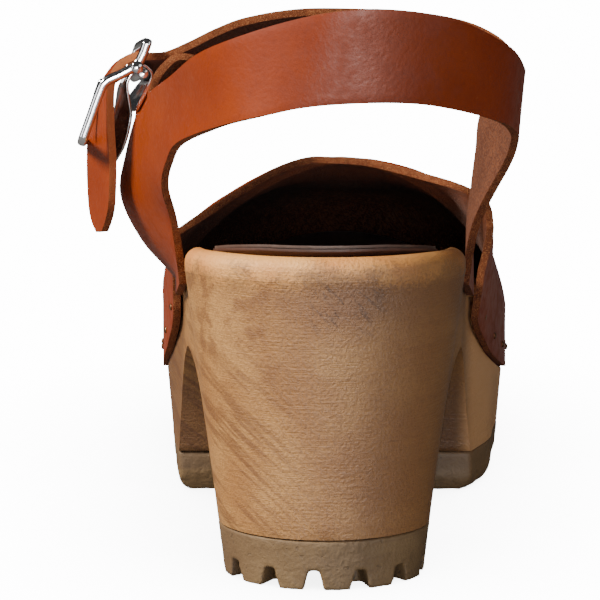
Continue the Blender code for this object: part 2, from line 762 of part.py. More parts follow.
def make_clasp_hook(collection):
    """The metal strip folded over the bar, with its tip against the outer leg."""
    points = []
    path = through(columns(HOOK_PROFILE), 3)
    for out, z, turn, width in path:
        slant = math.radians(turn)
        for across in np.linspace(-HOOK_WIDTH / 2, HOOK_WIDTH / 2, 3) * width:
            middle = FRAME_WIDTH / 2 + across * math.cos(slant)
            points.append(buckle_point(middle, out + across * math.sin(slant), z))
    hook = mesh_object("clasp_hook", points, grid_faces(len(path), 3), "chrome", collection)
    thicken(hook, HOOK_THICKNESS, 0)
    return hook


def main():
    """Builds every piece of the sandal."""
    for old in list(bpy.data.objects):
        bpy.data.objects.remove(old, do_unlink=True)
    sandal = bpy.data.collections.new("clog_sandal")
    cutters = bpy.data.collections.new("cutters")
    bpy.context.scene.collection.children.link(sandal)
    bpy.context.scene.collection.children.link(cutters)
    make_wood_sole(sandal)
    make_insole(sandal)
    make_heel_tread(sandal, cutters)
    make_forefoot_tread(sandal, cutters)
    make_vamp(sandal)
    make_ankle_strap(sandal)
    make_buckle(sandal)
    make_clasp_hook(sandal)


main()
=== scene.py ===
# %% [markdown]
# A wooden-soled clog sandal for a left foot, dressed for its picture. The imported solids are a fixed
# frame: they give the place and size of every piece. This file makes the fine surface over them: rounded
# leather edges, brushed wood, moulded rubber and polished metal. A finished piece stands for the solid
# that it covers, so the two can't both show.

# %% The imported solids
import math

import bmesh
import bpy
import numpy as np
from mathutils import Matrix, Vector, noise


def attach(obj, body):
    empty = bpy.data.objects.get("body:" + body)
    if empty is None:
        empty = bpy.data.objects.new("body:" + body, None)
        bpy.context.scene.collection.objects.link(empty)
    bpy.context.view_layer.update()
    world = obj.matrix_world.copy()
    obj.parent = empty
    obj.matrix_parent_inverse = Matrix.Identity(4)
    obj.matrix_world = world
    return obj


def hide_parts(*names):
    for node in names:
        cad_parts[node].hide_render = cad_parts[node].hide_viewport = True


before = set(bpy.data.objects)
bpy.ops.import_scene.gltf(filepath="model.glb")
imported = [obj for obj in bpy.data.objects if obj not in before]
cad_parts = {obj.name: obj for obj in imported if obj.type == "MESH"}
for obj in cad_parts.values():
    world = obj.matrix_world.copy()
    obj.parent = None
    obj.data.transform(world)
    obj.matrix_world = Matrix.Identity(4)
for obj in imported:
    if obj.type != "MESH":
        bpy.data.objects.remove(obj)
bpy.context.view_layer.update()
MM = 0.001
INNER = 1
OUTER = -1
print("solids:", sorted(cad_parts))

# %% [markdown]
# The shoe stands on a pale floor and is seen from behind, a little from above. A long lens from about a
# metre away keeps the heel and the platform in the right proportion to each other. One large lamp on the
# left models the round heel, and its right third falls into shade. A weak lamp low behind the camera
# shines in under the heel band, and a weaker one on the right lifts the shade. Two cards show only in
# reflections: one gives wood and leather their sheen, and one gives the metal a bright stripe beside the
# dark of the room.

# %% Camera and lamps
CAMERA_PLACE = (0.0068, -0.9764, 0.230)
CAMERA_TILT = math.radians(90 - 10.54)
CAMERA_TURN = math.radians(0.4)
LENS = 219.3
WARM = (1.0, 0.95, 0.87)
SOFT = (1.0, 0.96, 0.92)
WHITE = (1.0, 1.0, 1.0)
# Name, place, the point that it faces, width, power, tint, and whether it lights matt surfaces
LAMPS = (
    ("key_lamp", (-1.10, -0.54, 1.16), (0.0, -0.05, 0.07), 0.40, 51.0, WARM, True),
    ("front_lamp", (-0.05, -1.45, 0.17), (0.0, -0.05, 0.08), 0.40, 4.6, SOFT, True),
    ("fill_lamp", (0.80, -0.85, 0.50), (0.0, -0.05, 0.08), 0.60, 1.6, SOFT, True),
    ("sheen_card", (0.20, -1.40, 0.26), (0.0, -0.08, 0.11), 0.34, 15.0, WHITE, False),
    ("metal_card", (-0.85, -0.75, 0.30), (0.0, -0.08, 0.11), 0.50, 2.5, WHITE, False),
)


def lamp(name, place, target, size, power, tint, on_matt):
    """A soft square lamp that faces a point of the shoe."""
    light = bpy.data.lights.new(name, "AREA")
    light.shape = "SQUARE"
    light.size = size
    light.energy = power
    light.color = tint
    made = bpy.data.objects.new(name, light)
    made.location = place
    made.rotation_euler = (Vector(target) - Vector(place)).to_track_quat("-Z", "Y").to_euler()
    made.visible_diffuse = on_matt
    bpy.context.scene.collection.objects.link(made)


camera_data = bpy.data.cameras.new("photo_camera")
camera_data.lens = LENS
camera_data.clip_start = 0.01
camera = bpy.data.objects.new("photo_camera", camera_data)
camera.location = CAMERA_PLACE
camera.rotation_euler = (CAMERA_TILT, 0.0, CAMERA_TURN)
bpy.context.scene.collection.objects.link(camera)
bpy.context.scene.camera = camera

for row in LAMPS:
    lamp(*row)
print("camera at", CAMERA_PLACE, "lens", LENS, "with", len(LAMPS), "lamps")

# %% [markdown]
# The surroundings are a pale room, and they answer three kinds of ray differently. The camera sees a
# bright white backdrop. Matt surfaces get a little even light. Polished ones mirror a dim room, since
# chrome in an all-white room would lose its dark stripes.

# %% Pale room
ROOM_TINT = (1.0, 0.98, 0.96, 1.0)
ROOM_LIGHT = 0.14
MIRRORED_LIGHT = 0.05
BACKDROP_LIGHT = 15.0

world = bpy.data.worlds.new("pale_room")
bpy.context.scene.world = world
world.use_nodes = True
room = world.node_tree
last = room.nodes["Background"]
last.inputs["Color"].default_value = ROOM_TINT
last.inputs["Strength"].default_value = ROOM_LIGHT
rays = room.nodes.new("ShaderNodeLightPath")
for ray, strength in (("Is Glossy Ray", MIRRORED_LIGHT), ("Is Camera Ray", BACKDROP_LIGHT)):
    other = room.nodes.new("ShaderNodeBackground")
    other.inputs["Color"].default_value = (*WHITE, 1.0)
    other.inputs["Strength"].default_value = strength
    choice = room.nodes.new("ShaderNodeMixShader")
    room.links.new(rays.outputs[ray], choice.inputs[0])
    room.links.new(last.outputs[0], choice.inputs[1])
    room.links.new(other.outputs[0], choice.inputs[2])
    last = choice
room.links.new(last.outputs[0], room.nodes["World Output"].inputs["Surface"])
print("room light", ROOM_LIGHT, "backdrop", BACKDROP_LIGHT)

# %% [markdown]
# Materials are graphs of shader nodes. A short helper places a node and fills its inputs, with a plain
# value or with another node's output, so each graph reads from top to bottom like a recipe. A finish
# starts from a base tone, and stains are laid over it one after another, each within its masks.

# %% Helpers for shader graphs


def add(tree, kind, inputs=None, **settings):
    """One shader node; an input takes a value or another node's output."""
    made = tree.nodes.new(kind)
    for key, value in settings.items():
        setattr(made, key, value)
    for key, value in (inputs or {}).items():
        if isinstance(value, bpy.types.NodeSocket):
            tree.links.new(value, made.inputs[key])
        else:
            made.inputs[key].default_value = value
    return made


def speckle(tree, vector, scale, detail=3.0, roughness=0.55):
    """Cloudy noise, from 0 to 1."""
    values = {"Vector": vector, "Scale": scale, "Detail": detail, "Roughness": roughness}
    return add(tree, "ShaderNodeTexNoise", values).outputs[0]


def ease(tree, value, low, high):
    """A soft step from 0 at low to 1 at high."""
    values = {0: value, 1: low, 2: high, 3: 0.0, 4: 1.0}
    return add(tree, "ShaderNodeMapRange", values, interpolation_type="SMOOTHSTEP").outputs[0]


def maths(tree, operation, a, b):
    """One step of arithmetic on two values."""
    return add(tree, "ShaderNodeMath", {0: a, 1: b}, operation=operation).outputs[0]


def scaled(tree, value, factor, start):
    """A value times a factor, plus a start."""
    values = {0: value, 1: factor, 2: start}
    return add(tree, "ShaderNodeMath", values, operation="MULTIPLY_ADD").outputs[0]


def mix(tree, share, a, b):
    """A blend of two colours."""
    return add(tree, "ShaderNodeMix", {0: share, 6: a, 7: b}, data_type="RGBA").outputs[2]


def stain(tree, tone, colour, share, *masks):
    """A tone with a share of another colour laid over it, where all the masks are set."""
    for mask in masks:
        share = maths(tree, "MULTIPLY", mask, share)
    return mix(tree, share, tone, colour)


def zone(tree, spot, **limits):
    """A soft-edged part of the shoe: along each axis named, 0 at the first limit and 1 at the second."""
    axes = add(tree, "ShaderNodeSeparateXYZ", {0: spot}).outputs
    share = 1.0
    for axis, (low, high) in limits.items():
        share = maths(tree, "MULTIPLY", ease(tree, axes[axis], low, high), share)
    return share


def group(name, inputs, outputs):
    """An empty node group with named sockets."""
    tree = bpy.data.node_groups.new(name, "ShaderNodeTree")
    for title, kind, value in inputs:
        socket = tree.interface.new_socket(title, in_out="INPUT", socket_type="NodeSocket" + kind)
        socket.default_value = value
    for title, kind in outputs:
        tree.interface.new_socket(title, in_out="OUTPUT", socket_type="NodeSocket" + kind)
    return tree, tree.nodes.new("NodeGroupInput").outputs, tree.nodes.new("NodeGroupOutput").inputs


def place(tree, name, **inputs):
    """A node group placed in a material; words in an input's name are joined by underscores."""
    values = {key.replace("_", " "): value for key, value in inputs.items()}
    return add(tree, "ShaderNodeGroup", values, node_tree=bpy.data.node_groups[name]).outputs


def finish(name, **sockets):
    """A new material, its node tree, its Principled shader and the object's own coordinates."""
    made = bpy.data.materials.new(name)
    made.use_nodes = True
    tree = made.node_tree
    shader = tree.nodes["Principled BSDF"]
    for key, value in sockets.items():
        shader.inputs[key.replace("_", " ")].default_value = value
    spot = tree.nodes.new("ShaderNodeTexCoord").outputs["Object"]
    return made, tree, shader, spot


def dress(tree, shader, **sockets):
    """Gives the shader its colour or roughness from the graph."""
    for key, value in sockets.items():
        tree.links.new(value, shader.inputs[key.replace("_", " ")])


def relief(tree, shader, height, strength, distance):
    """Bump from a height, into the shader's normal."""
    values = {"Height": height, "Strength": strength, "Distance": distance}
    tree.links.new(add(tree, "ShaderNodeBump", values).outputs[0], shader.inputs["Normal"])


def linear(red, green, blue):
    """A colour given in the 0 to 255 numbers of a paint chart."""
    channels = []
    for channel in (red, green, blue):
        share = channel / 255
        channels.append(share / 12.92 if share <= 0.04045 else ((share + 0.055) / 1.055) ** 2.4)
    return (*channels, 1.0)


print("shader helpers ready")

# %% [markdown]
# Four effects come up in several finishes, so each is a node group. Drawn lines are noise that is
# stretched along one direction: they give brush marks, wood grain, strands of leather and scratches.
# Hide pebble is the fine cell pattern of leather and of rubber. Handling blotches change a colour slowly
# over a surface. Stray specks are small dots where dust, fibre ends or pits catch the eye.

# %% Shared shader groups
tree, given, out = group(
    "drawn_lines",
    [("Vector", "Vector", (0, 0, 0)), ("Turn", "Vector", (0, 0, 0)), ("Stretch", "Vector", (1, 1, 1)),
     ("Low", "Float", 0.4), ("High", "Float", 0.6)],
    [("Lines", "Float"), ("Mask", "Float")],
)
turned = add(
    tree, "ShaderNodeMapping",
    {"Vector": given["Vector"], "Rotation": given["Turn"], "Scale": given["Stretch"]},
    vector_type="TEXTURE",
)
drawn = speckle(tree, turned.outputs[0], 1.0, 4.0)
tree.links.new(drawn, out["Lines"])
tree.links.new(ease(tree, drawn, given["Low"], given["High"]), out["Mask"])

tree, given, out = group(
    "hide_pebble",
    [("Vector", "Vector", (0, 0, 0)), ("Scale", "Float", 900.0), ("Pore Scale", "Float", 2600.0)],
    [("Height", "Float"), ("Valleys", "Float")],
)
wander = speckle(tree, given["Vector"], given["Scale"], 2.0)
cells = add(
    tree, "ShaderNodeTexVoronoi",
    {"Vector": given["Vector"], "Scale": given["Scale"], "Randomness": 0.9},
    feature="SMOOTH_F1",
)
pores = speckle(tree, given["Vector"], given["Pore Scale"], 2.0)
bumps = scaled(tree, cells.outputs["Distance"], -0.7, wander)
tree.links.new(scaled(tree, pores, 0.35, bumps), out["Height"])
tree.links.new(ease(tree, cells.outputs["Distance"], 0.45, 0.85), out["Valleys"])

tree, given, out = group(
    "handling_blotches",
    [("Vector", "Vector", (0, 0, 0)), ("Scale", "Float", 45.0), ("Low", "Float", 0.35),
     ("High", "Float", 0.7)],
    [("Mask", "Float")],
)
tree.links.new(
    ease(tree, speckle(tree, given["Vector"], given["Scale"], 5.0), given["Low"], given["High"]), out["Mask"]
)

tree, given, out = group(
    "stray_specks",
    [("Vector", "Vector", (0, 0, 0)), ("Scale", "Float", 900.0), ("Rarity", "Float", 0.68)],
    [("Mask", "Float")],
)
dots = speckle(tree, given["Vector"], given["Scale"], 1.0, 0.4)
tree.links.new(
    ease(tree, dots, given["Rarity"], maths(tree, "ADD", given["Rarity"], 0.06)), out["Mask"]
)
print("groups:", sorted(made.name for made in bpy.data.node_groups))

# %% [markdown]
# The floor is only a pale stage. The eye sees it as bright as the backdrop, with a painted soft shadow
# where the shoe stands, darker where the floor is less open to the sky, and to the lamps it is a plain matt
# grey that throws a little light back up.

# %% Floor
FLOOR_SIZE = 8.0
PAINTED_SHADOW_REACH = 0.07
PAINTED_SHADOW_LIGHT = 0.35

floor_finish, tree, shader, spot = finish("pale_floor", Roughness=0.95)
blotch = place(tree, "handling_blotches", Vector=spot, Scale=3.0)["Mask"]
shade = mix(tree, blotch, (0.15, 0.15, 0.15, 1.0), (0.18, 0.18, 0.18, 1.0))
dress(tree, shader, Base_Color=shade)
# Painted shadow: the glow that the eye sees is dimmed by ambient occlusion near the shoe
open_sky = add(tree, "ShaderNodeAmbientOcclusion", {"Distance": PAINTED_SHADOW_REACH}, samples=12).outputs["AO"]
lit = scaled(tree, open_sky, 1 - PAINTED_SHADOW_LIGHT, PAINTED_SHADOW_LIGHT)
glow = add(tree, "ShaderNodeEmission", {"Strength": maths(tree, "MULTIPLY", lit, BACKDROP_LIGHT)})
by_eye = add(tree, "ShaderNodeLightPath").outputs["Is Camera Ray"]
seen_floor = add(
    tree, "ShaderNodeMixShader", {0: by_eye, 1: shader.outputs[0], 2: glow.outputs[0]}
).outputs[0]
tree.links.new(seen_floor, tree.nodes["Material Output"].inputs["Surface"])
shape = bmesh.new()
bmesh.ops.create_grid(shape, x_segments=4, y_segments=4, size=FLOOR_SIZE / 2)
floor_mesh = bpy.data.meshes.new("floor")
shape.to_mesh(floor_mesh)
shape.free()
floor_mesh.materials.append(floor_finish)
floor = bpy.data.objects.new("floor", floor_mesh)
bpy.context.scene.collection.objects.link(floor)
print("floor", FLOOR_SIZE, "m wide")

# %% [markdown]
# Every form of this shoe is a set of sections. Tables with a row for each section hold the sizes in
# millimetres, the same ones as in the solids, and smooth curves run through the rows. More points are
# taken from those curves here than in the solids, so round forms look round.

# %% Curves through tables


def table(columns, *rows):
    """A short table, kept as one array for each named column."""
    return dict(zip(columns.split(), np.array(rows, float).T))


def columns(rows):
    """The rows of a table, as one array."""
    return np.array(list(rows.values())).T


def smooth(rows, name, x):
    """A column of a table where its first column is x, on a curve that doesn't overshoot its rows."""
    xs = next(iter(rows.values()))
    ys = rows[name]
    gaps = np.diff(xs)
    rates = np.diff(ys) / gaps
    slopes = np.concatenate([[rates[0]], np.zeros(len(xs) - 2), [rates[-1]]])
    for i in range(1, len(xs) - 1):
        if rates[i - 1] * rates[i] > 0:
            before = 2 * gaps[i] + gaps[i - 1]
            after = gaps[i] + 2 * gaps[i - 1]
            slopes[i] = (before + after) / (before / rates[i - 1] + after / rates[i])
    i = int(np.clip(np.searchsorted(xs, x, "right") - 1, 0, len(gaps) - 1))
    t = (x - xs[i]) / gaps[i]
    rise = t * t * (3 - 2 * t)
    bend = gaps[i] * t * (1 - t) * (slopes[i] * (1 - t) - slopes[i + 1] * t)
    return ys[i] + (ys[i + 1] - ys[i]) * rise + bend


def through(rows, steps):
    """A smooth path through rows of numbers, with a number of steps from row to row."""
    rows = np.array(rows, float)
    padded = np.vstack([2 * rows[0] - rows[1], rows, 2 * rows[-1] - rows[-2]])
    path = []
    for a, b, c, d in zip(padded, padded[1:], padded[2:], padded[3:]):
        for t in np.arange(steps) / steps:
            bend = 2 * a - 5 * b + 4 * c - d
            twist = 3 * b - a - 3 * c + d
            path.append(b + 0.5 * (t * (c - a) + t * t * bend + t ** 3 * twist))
    path.append(rows[-1])
    return np.array(path)


def between(stations, steps):
    """The given stations with evenly spaced ones put in between them."""
    filled = []
    for a, b in zip(stations, stations[1:]):
        filled += list(np.linspace(a, b, steps, endpoint=False))
    return filled + [stations[-1]]


print("curve helpers ready")

# %% [markdown]
# The wooden sole is one carved block: a high heel, an arch, a platform and a little toe spring. A
# station is a distance forward from the back of the heel. At each station the table gives how far the
# rim reaches to both sides, its height, the lean of the walls and the dish of the footbed.

# %% Shape of the sole
SOLE_LENGTH = 250.0
HEEL_TREAD_HEIGHT = 12.6
FORE_TREAD_HEIGHT = 11.0
LEATHER = 2.0
CLEARANCE = 0.3
SEAT_CLEARANCE = 0.7
RIM_ROUND = 3.4
HEEL_ROUND = 31.0
TOE_ROUND = 60.0
TOE_SWING = 4.0
BREAST_STATION = 63.0
FORE_REAR_STATION = 106.0
SLOPE_STEP = 0.05
ORIGIN_STATION = 126.4
ORIGIN_ACROSS = -6.8
PLATFORM_STATIONS = [FORE_REAR_STATION, 128, 150, 175, SOLE_LENGTH - TOE_ROUND]
SOLE = table(
    "station inner outer rim inner_lean outer_lean step dish",
    (0, 34.4, 34.4, 81.5, 0.04, 0.04, 0, 0),
    (12, 34.4, 34.4, 80.9, 0.08, 0.08, 0, 4.0),
    (30, 34.4, 34.4, 79.2, 0.137, 0.128, 0, 7.0),
    (50, 34.4, 34.6, 75.8, 0.137, 0.128, 0, 7.0),
    (70, 35.0, 35.4, 71.2, 0.11, 0.11, 0, 5.5),
    (85, 36.0, 36.3, 66.8, 0.03, 0.03, 0, 4.5),
    (100, 37.8, 37.6, 61.5, 0.02, -0.02, 0, 4.0),
    (110, 40.2, 39.2, 57.4, 0.0, 0.0, 0.5, 3.5),
    (122, 43.2, 40.8, 52.0, -0.02, 0.05, 1.2, 3.0),
    (135, 45.9, 41.8, 46.8, 0.06, 0.08, 1.5, 3.0),
    (150, 47.7, 42.4, 42.6, 0.08, 0.09, 1.5, 3.0),
    (168, 48.0, 42.6, 40.2, 0.10, 0.09, 1.5, 3.0),
    (186, 47.8, 42.4, 39.8, 0.11, 0.10, 1.5, 2.5),
    (205, 47.2, 41.6, 40.6, 0.12, 0.12, 1.5, 2.0),
    (228, 45.6, 39.4, 42.8, 0.12, 0.12, 1.5, 1.0),
    (250, 43.6, 36.6, 46.0, 0.12, 0.12, 1.5, 0),
)
SEAT = table(
    "station depth",
    (0, 5.0), (88, 5.0), (97, 11.5), (108, 16.0), (120, 18.0), (140, 17.5), (200, 16.0), (250, 15.0),
)
UNDERSIDE = table(
    "station height",
    (0, HEEL_TREAD_HEIGHT), (BREAST_STATION, HEEL_TREAD_HEIGHT), (64.5, 17.0), (67.0, 26.0),
    (71.0, 35.0), (77.0, 42.0), (84.0, 44.0), (91.0, 40.5), (97.0, 32.5), (101.5, 23.0), (104.5, 15.0),
    (FORE_REAR_STATION, FORE_TREAD_HEIGHT), (200, FORE_TREAD_HEIGHT), (216, 12.2), (233, 16.0),
    (250, 22.0),
)


def end_share(station):
    """The share of the full width left where the outline rounds off at heel and toe."""
    heel = max(0.0, 1 - station / HEEL_ROUND)
    toe = max(0.0, (station - SOLE_LENGTH + TOE_ROUND) / TOE_ROUND)
    return math.sqrt(max(0.0, 1 - heel ** 2)) * math.sqrt(max(0.0, 1 - toe ** 2))


def rim(side, station):
    """A point on the sole's top edge."""
    column = "inner" if side == INNER else "outer"
    toe = max(0.0, (station - SOLE_LENGTH + TOE_ROUND) / TOE_ROUND)
    x = TOE_SWING * toe ** 2 + side * smooth(SOLE, column, station) * end_share(station)
    return np.array([x, station, smooth(SOLE, "rim", station)])


def outward(side, station):
    """The direction straight out from the sole's outline, level with the floor."""
    if station <= 0 or station >= SOLE_LENGTH:
        return np.array([0.0, -1.0 if station <= 0 else 1.0, 0.0])
    step = min(SLOPE_STEP, station / 4, (SOLE_LENGTH - station) / 4)
    along = rim(side, station + step) - rim(side, station - step)
    normal = np.array([along[1], -along[0], 0.0]) * side
    return normal / np.linalg.norm(normal)


def seat_end(side, station):
    """The height where the seat of the leather ends on the sole's side."""
    return rim(side, station)[2] - smooth(SEAT, "depth", station)


def seat(side, station, z, clear):
    """A point on the upright band under the rim that the vamp is nailed to, or just off it."""
    point = rim(side, station) + outward(side, station) * clear
    point[2] = z
    return point


def wall(side, station, z, clear=0.0):
    """A point on the sole's side wall below that band, or a little way out from it."""
    lean = smooth(SOLE, "inner_lean" if side == INNER else "outer_lean", station)
    step = smooth(SOLE, "step", station)
    return seat(side, station, z, clear + step - lean * (seat_end(side, station) - z))


def underside(station):
    """The height of the wood's lower face."""
    return smooth(UNDERSIDE, "height", station)


def footbed(station, across):
    """A point on the dished top of the wood; across runs from -1 at the outer rim to 1."""
    ends = [rim(side, station) - RIM_ROUND * outward(side, station) for side in (OUTER, INNER)]
    point = ends[0] + (ends[1] - ends[0]) * (across + 1) / 2
    point[2] -= smooth(SOLE, "dish", station) * (1 - across ** 2)
    return point


def end_stations(reach, count):
    """Stations that crowd together towards a round end of the outline."""
    return [reach * (1 - math.cos(math.pi / 2 * k / count)) for k in range(count)]


print("sole", SOLE_LENGTH, "mm long, heel rim", SOLE["rim"][0], "mm high")

# %% [markdown]
# Points become a mesh in three short steps: the sections are joined by quads, double points are welded,
# and modifiers round the edges. The modifiers are then applied, so the mesh itself holds what is seen.

# %% Helpers for meshes
WELD = 0.01
POINTED_END = 0.1


def to_frame(point):
    """A point given by side, station and height in millimetres, in metres about the origin."""
    return ((point[0] - ORIGIN_ACROSS) * MM, (point[1] - ORIGIN_STATION) * MM, point[2] * MM)


def grid_faces(rows, width, start=0, closed=False):
    """Quads over rows of points; a closed grid joins the last point of a row to its first."""
    faces = []
    for i in range(rows - 1):
        for j in range(width if closed else width - 1):
            a = start + i * width
            k = (j + 1) % width
            faces.append((a + j, a + k, a + width + k, a + width + j))
    return faces


def piece(name, points, faces, finishes, marks=None):
    """A named mesh in the shoe's frame; marks are numbers kept at its points for the shader."""
    shape = bmesh.new()
    layers = {key: shape.verts.layers.float.new(key) for key in (marks or {})}
    made = [shape.verts.new(to_frame(point)) for point in points]
    for key, values in (marks or {}).items():
        for vert, value in zip(made, values):
            vert[layers[key]] = value
    for face in faces:
        shape.faces.new([made[i] for i in face])
    bmesh.ops.remove_doubles(shape, verts=shape.verts, dist=WELD * MM)
    bmesh.ops.recalc_face_normals(shape, faces=shape.faces)
    mesh = bpy.data.meshes.new(name)
    shape.to_mesh(mesh)
    shape.free()
    for made_finish in finishes:
        mesh.materials.append(made_finish)
    body = bpy.data.objects.new(name, mesh)
    bpy.context.scene.collection.objects.link(body)
    return body


def loft(name, rings, finishes, marks=None):
    """A closed body through rings of points; an end ring that isn't a point is capped."""
    width = len(rings[0])
    points = [point for ring in rings for point in ring]
    faces = grid_faces(len(rings), width, closed=True)
    for first in (0, (len(rings) - 1) * width):
        if np.ptp(np.array(points[first:first + width])[:, 0]) > POINTED_END:
            faces.append(tuple(range(first, first + width)))
    return piece(name, points, faces, finishes, marks)


def settle(body, sharp=40):
    """Applies the modifiers and shades the result smooth, with its real corners kept."""
    seen_mesh = body.evaluated_get(bpy.context.evaluated_depsgraph_get())
    mesh = bpy.data.meshes.new_from_object(seen_mesh)
    mesh.name = body.name
    body.modifiers.clear()
    body.data = mesh
    mesh.shade_smooth()
    mesh.set_sharp_from_angle(angle=math.radians(sharp))
    return body


def soften(body, width, segments=3, angle=50):
    """Rounds the corners of a piece that are sharper than an angle."""
    edge = body.modifiers.new("Soft edges", "BEVEL")
    edge.width = width * MM
    edge.segments = segments
    edge.limit_method = "ANGLE"
    edge.angle_limit = math.radians(angle)


def stands_for(body, slot, *nodes):
    """Fixes a piece to the shoe, in place of the solids that it covers."""
    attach(body, "root")
    if nodes:
        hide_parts(*nodes)
    triangles = sum(len(face.vertices) - 2 for face in body.data.polygons)
    print(body.name, "has", triangles, "triangles")
    return body


def uneven(body, height, *waves):
    """Moves a skin in and out by soft noise; a wave has a pitch per metre and a share of the height."""
    verts = body.data.vertices
    moved = []
    for vert in verts:
        bump = sum(share * noise.noise(vert.co * pitch) for pitch, share in waves)
        spot = vert.co + vert.normal * bump * height * MM
        moved += [spot.x, spot.y, max(spot.z, 0.0)]
    verts.foreach_set("co", moved)
    body.data.update()


def turn_out(body, direction, pick):
    """Turns a sheet over if the chosen face doesn't look the way it should."""
    face = pick(body.data.polygons)
    if face.normal.dot(Vector(direction)) < 0:
        body.data.flip_normals()


print("mesh helpers ready")

# %% [markdown]
# The wood is pale and sanded, with a rounded rim that is paler still, fine brush lines that run level
# round the heel, slanting grain low on the outer side and a few short dark nicks. The lines are
# stretched noise. The rim's tone needs to know how far below the rim a point lies, so that number is
# stored at each point of the mesh and read back in the shader.

# %% Wood grain
wood_finish, tree, shader, spot = finish("sanded_wood", Specular_IOR_Level=0.62)
blotch = place(tree, "handling_blotches", Vector=spot, Scale=55.0, Low=0.34, High=0.68)["Mask"]
tone = mix(tree, blotch, linear(170, 117, 61), linear(197, 145, 83))
cloud = place(tree, "handling_blotches", Vector=spot, Scale=17.0, Low=0.42, High=0.66)["Mask"]
tone = stain(tree, tone, linear(146, 96, 50), 0.42, cloud)
fibre = place(tree, "handling_blotches", Vector=spot, Scale=1300.0, Low=0.36, High=0.66)["Mask"]
tone = stain(tree, tone, linear(134, 88, 48), 0.34, fibre)
patchy = place(tree, "handling_blotches", Vector=spot, Scale=90.0, Low=0.40, High=0.62)["Mask"]
brushed = place(tree, "drawn_lines", Vector=spot, Stretch=(0.010, 0.010, 0.00035), Low=0.44, High=0.66)
tone = stain(tree, tone, linear(128, 82, 44), 0.18, brushed["Mask"], patchy)
coarse = place(tree, "drawn_lines", Vector=spot, Stretch=(0.03, 0.03, 0.0022), Low=0.48, High=0.72)
tone = stain(tree, tone, linear(132, 84, 44), 0.14, coarse["Mask"])
slant = place(
    tree, "drawn_lines", Vector=spot, Turn=(0, math.radians(40), 0),
    Stretch=(0.024, 0.02, 0.0016), Low=0.46, High=0.62,
)
low_outer = zone(tree, spot, X=(0.012, -0.016), Z=(0.074, 0.036))
tone = stain(tree, tone, linear(116, 72, 34), 0.72, slant["Mask"], low_outer)
print("grain of", wood_finish.name)

# %% [markdown]
# Use has marked the wood. Hands left smudges high on the outer side, and the rim has worn pale over a
# darker band, with nicks where the heel was knocked. The platform is darker on its outer side. Painted shade
# darkens the heel's inner side and the hollow of the arch, and painted light makes the platform's inner
# side paler.

# %% Marks on the wood
smudge = place(tree, "handling_blotches", Vector=spot, Scale=150.0, Low=0.50, High=0.62)["Mask"]
high_outer = zone(tree, spot, X=(0.004, -0.010), Z=(0.044, 0.058))
tone = stain(tree, tone, linear(122, 76, 38), 0.58, smudge, high_outer)
below = add(tree, "ShaderNodeAttribute", attribute_name="below_rim").outputs["Fac"]
band = maths(tree, "MULTIPLY", ease(tree, below, 4.5, 8.0), ease(tree, below, 21.0, 10.0))
tone = stain(tree, tone, linear(118, 74, 38), 0.58, band, zone(tree, spot, X=(-0.016, 0.014)))
frayed = scaled(tree, patchy, 3.4, scaled(tree, fibre, 2.0, below))
pale = mix(tree, blotch, linear(226, 146, 70), linear(250, 180, 98))
tone = stain(tree, tone, pale, 0.95, ease(tree, frayed, 9.5, 3.0))
nicks = place(
    tree, "drawn_lines", Vector=spot, Turn=(0, math.radians(48), 0),
    Stretch=(0.006, 0.006, 0.0012), Low=0.52, High=0.66,
)
past_start = zone(tree, spot, X=(0.000, 0.007), Z=(0.060, 0.067))
before_end = zone(tree, spot, X=(0.026, 0.018), Z=(0.079, 0.073))
tone = stain(tree, tone, linear(84, 54, 30), 0.60, nicks["Mask"], past_start, before_end)
specks = place(tree, "stray_specks", Vector=spot, Scale=1600.0, Rarity=0.68)["Mask"]
tone = stain(tree, tone, linear(92, 62, 36), 0.24, specks)
for colour, share, limits in (
    # Painted shade on the heel's inner side
    (linear(118, 77, 40), 0.60, {"X": (0.010, 0.034), "Y": (-0.040, -0.060)}),
    # Darker on the platform's outer side
    (linear(96, 60, 32), 0.75, {"X": (0.0, -0.030), "Y": (-0.040, -0.026)}),
    # Painted shade in the hollow of the arch
    (linear(108, 70, 36), 0.60, {"X": (0.012, 0.030), "Y": (-0.040, -0.026)}),
    # Painted light on the platform's inner side
    (linear(240, 182, 124), 0.90, {"X": (0.041, 0.047), "Y": (-0.040, -0.026)}),
):
    tone = stain(tree, tone, colour, share, zone(tree, spot, **limits))
dress(tree, shader, Base_Color=tone, Roughness=scaled(tree, brushed["Lines"], 0.3, 0.40))
relief(tree, shader, scaled(tree, fibre, 0.6, brushed["Lines"]), 0.42, 0.0004)
print("made", wood_finish.name)

# %% [markdown]
# The block itself is lofted through closed sections, one for each station. Each section runs up one
# wall, over the rounded rim, across the dished footbed and down the other side. Its cut edges get a
# small rounding, as a sander leaves it.

# %% Wooden sole
WALL_POINTS = 16
RIM_POINTS = 8
SEAT_POINTS = 4
BED_POINTS = 17


def wood_section(station):
    """One closed section of the wood, and how far below the rim each of its points lies."""
    low = underside(station)
    ring = []
    depths = []
    for side in (OUTER, INNER):
        top = rim(side, station)[2]
        end = seat_end(side, station) - SEAT_CLEARANCE
        up = [wall(side, station, z) for z in np.linspace(low, end, WALL_POINTS)]
        up += [seat(side, station, z, 0.0) for z in np.linspace(end, top - RIM_ROUND, SEAT_POINTS)]
        for angle in np.linspace(0, math.pi / 2, RIM_POINTS)[1:]:
            drop = RIM_ROUND * (1 - math.sin(angle))
            up.append(seat(side, station, top - drop, RIM_ROUND * (math.cos(angle) - 1)))
        down = [top - point[2] for point in up]
        ring += up if side == OUTER else up[::-1]
        depths += down if side == OUTER else down[::-1]
        if side == OUTER:
            bed = [footbed(station, across) for across in np.linspace(-1, 1, BED_POINTS)[1:-1]]
            ring += bed
            depths += [0.0] * len(bed)
    return ring, depths


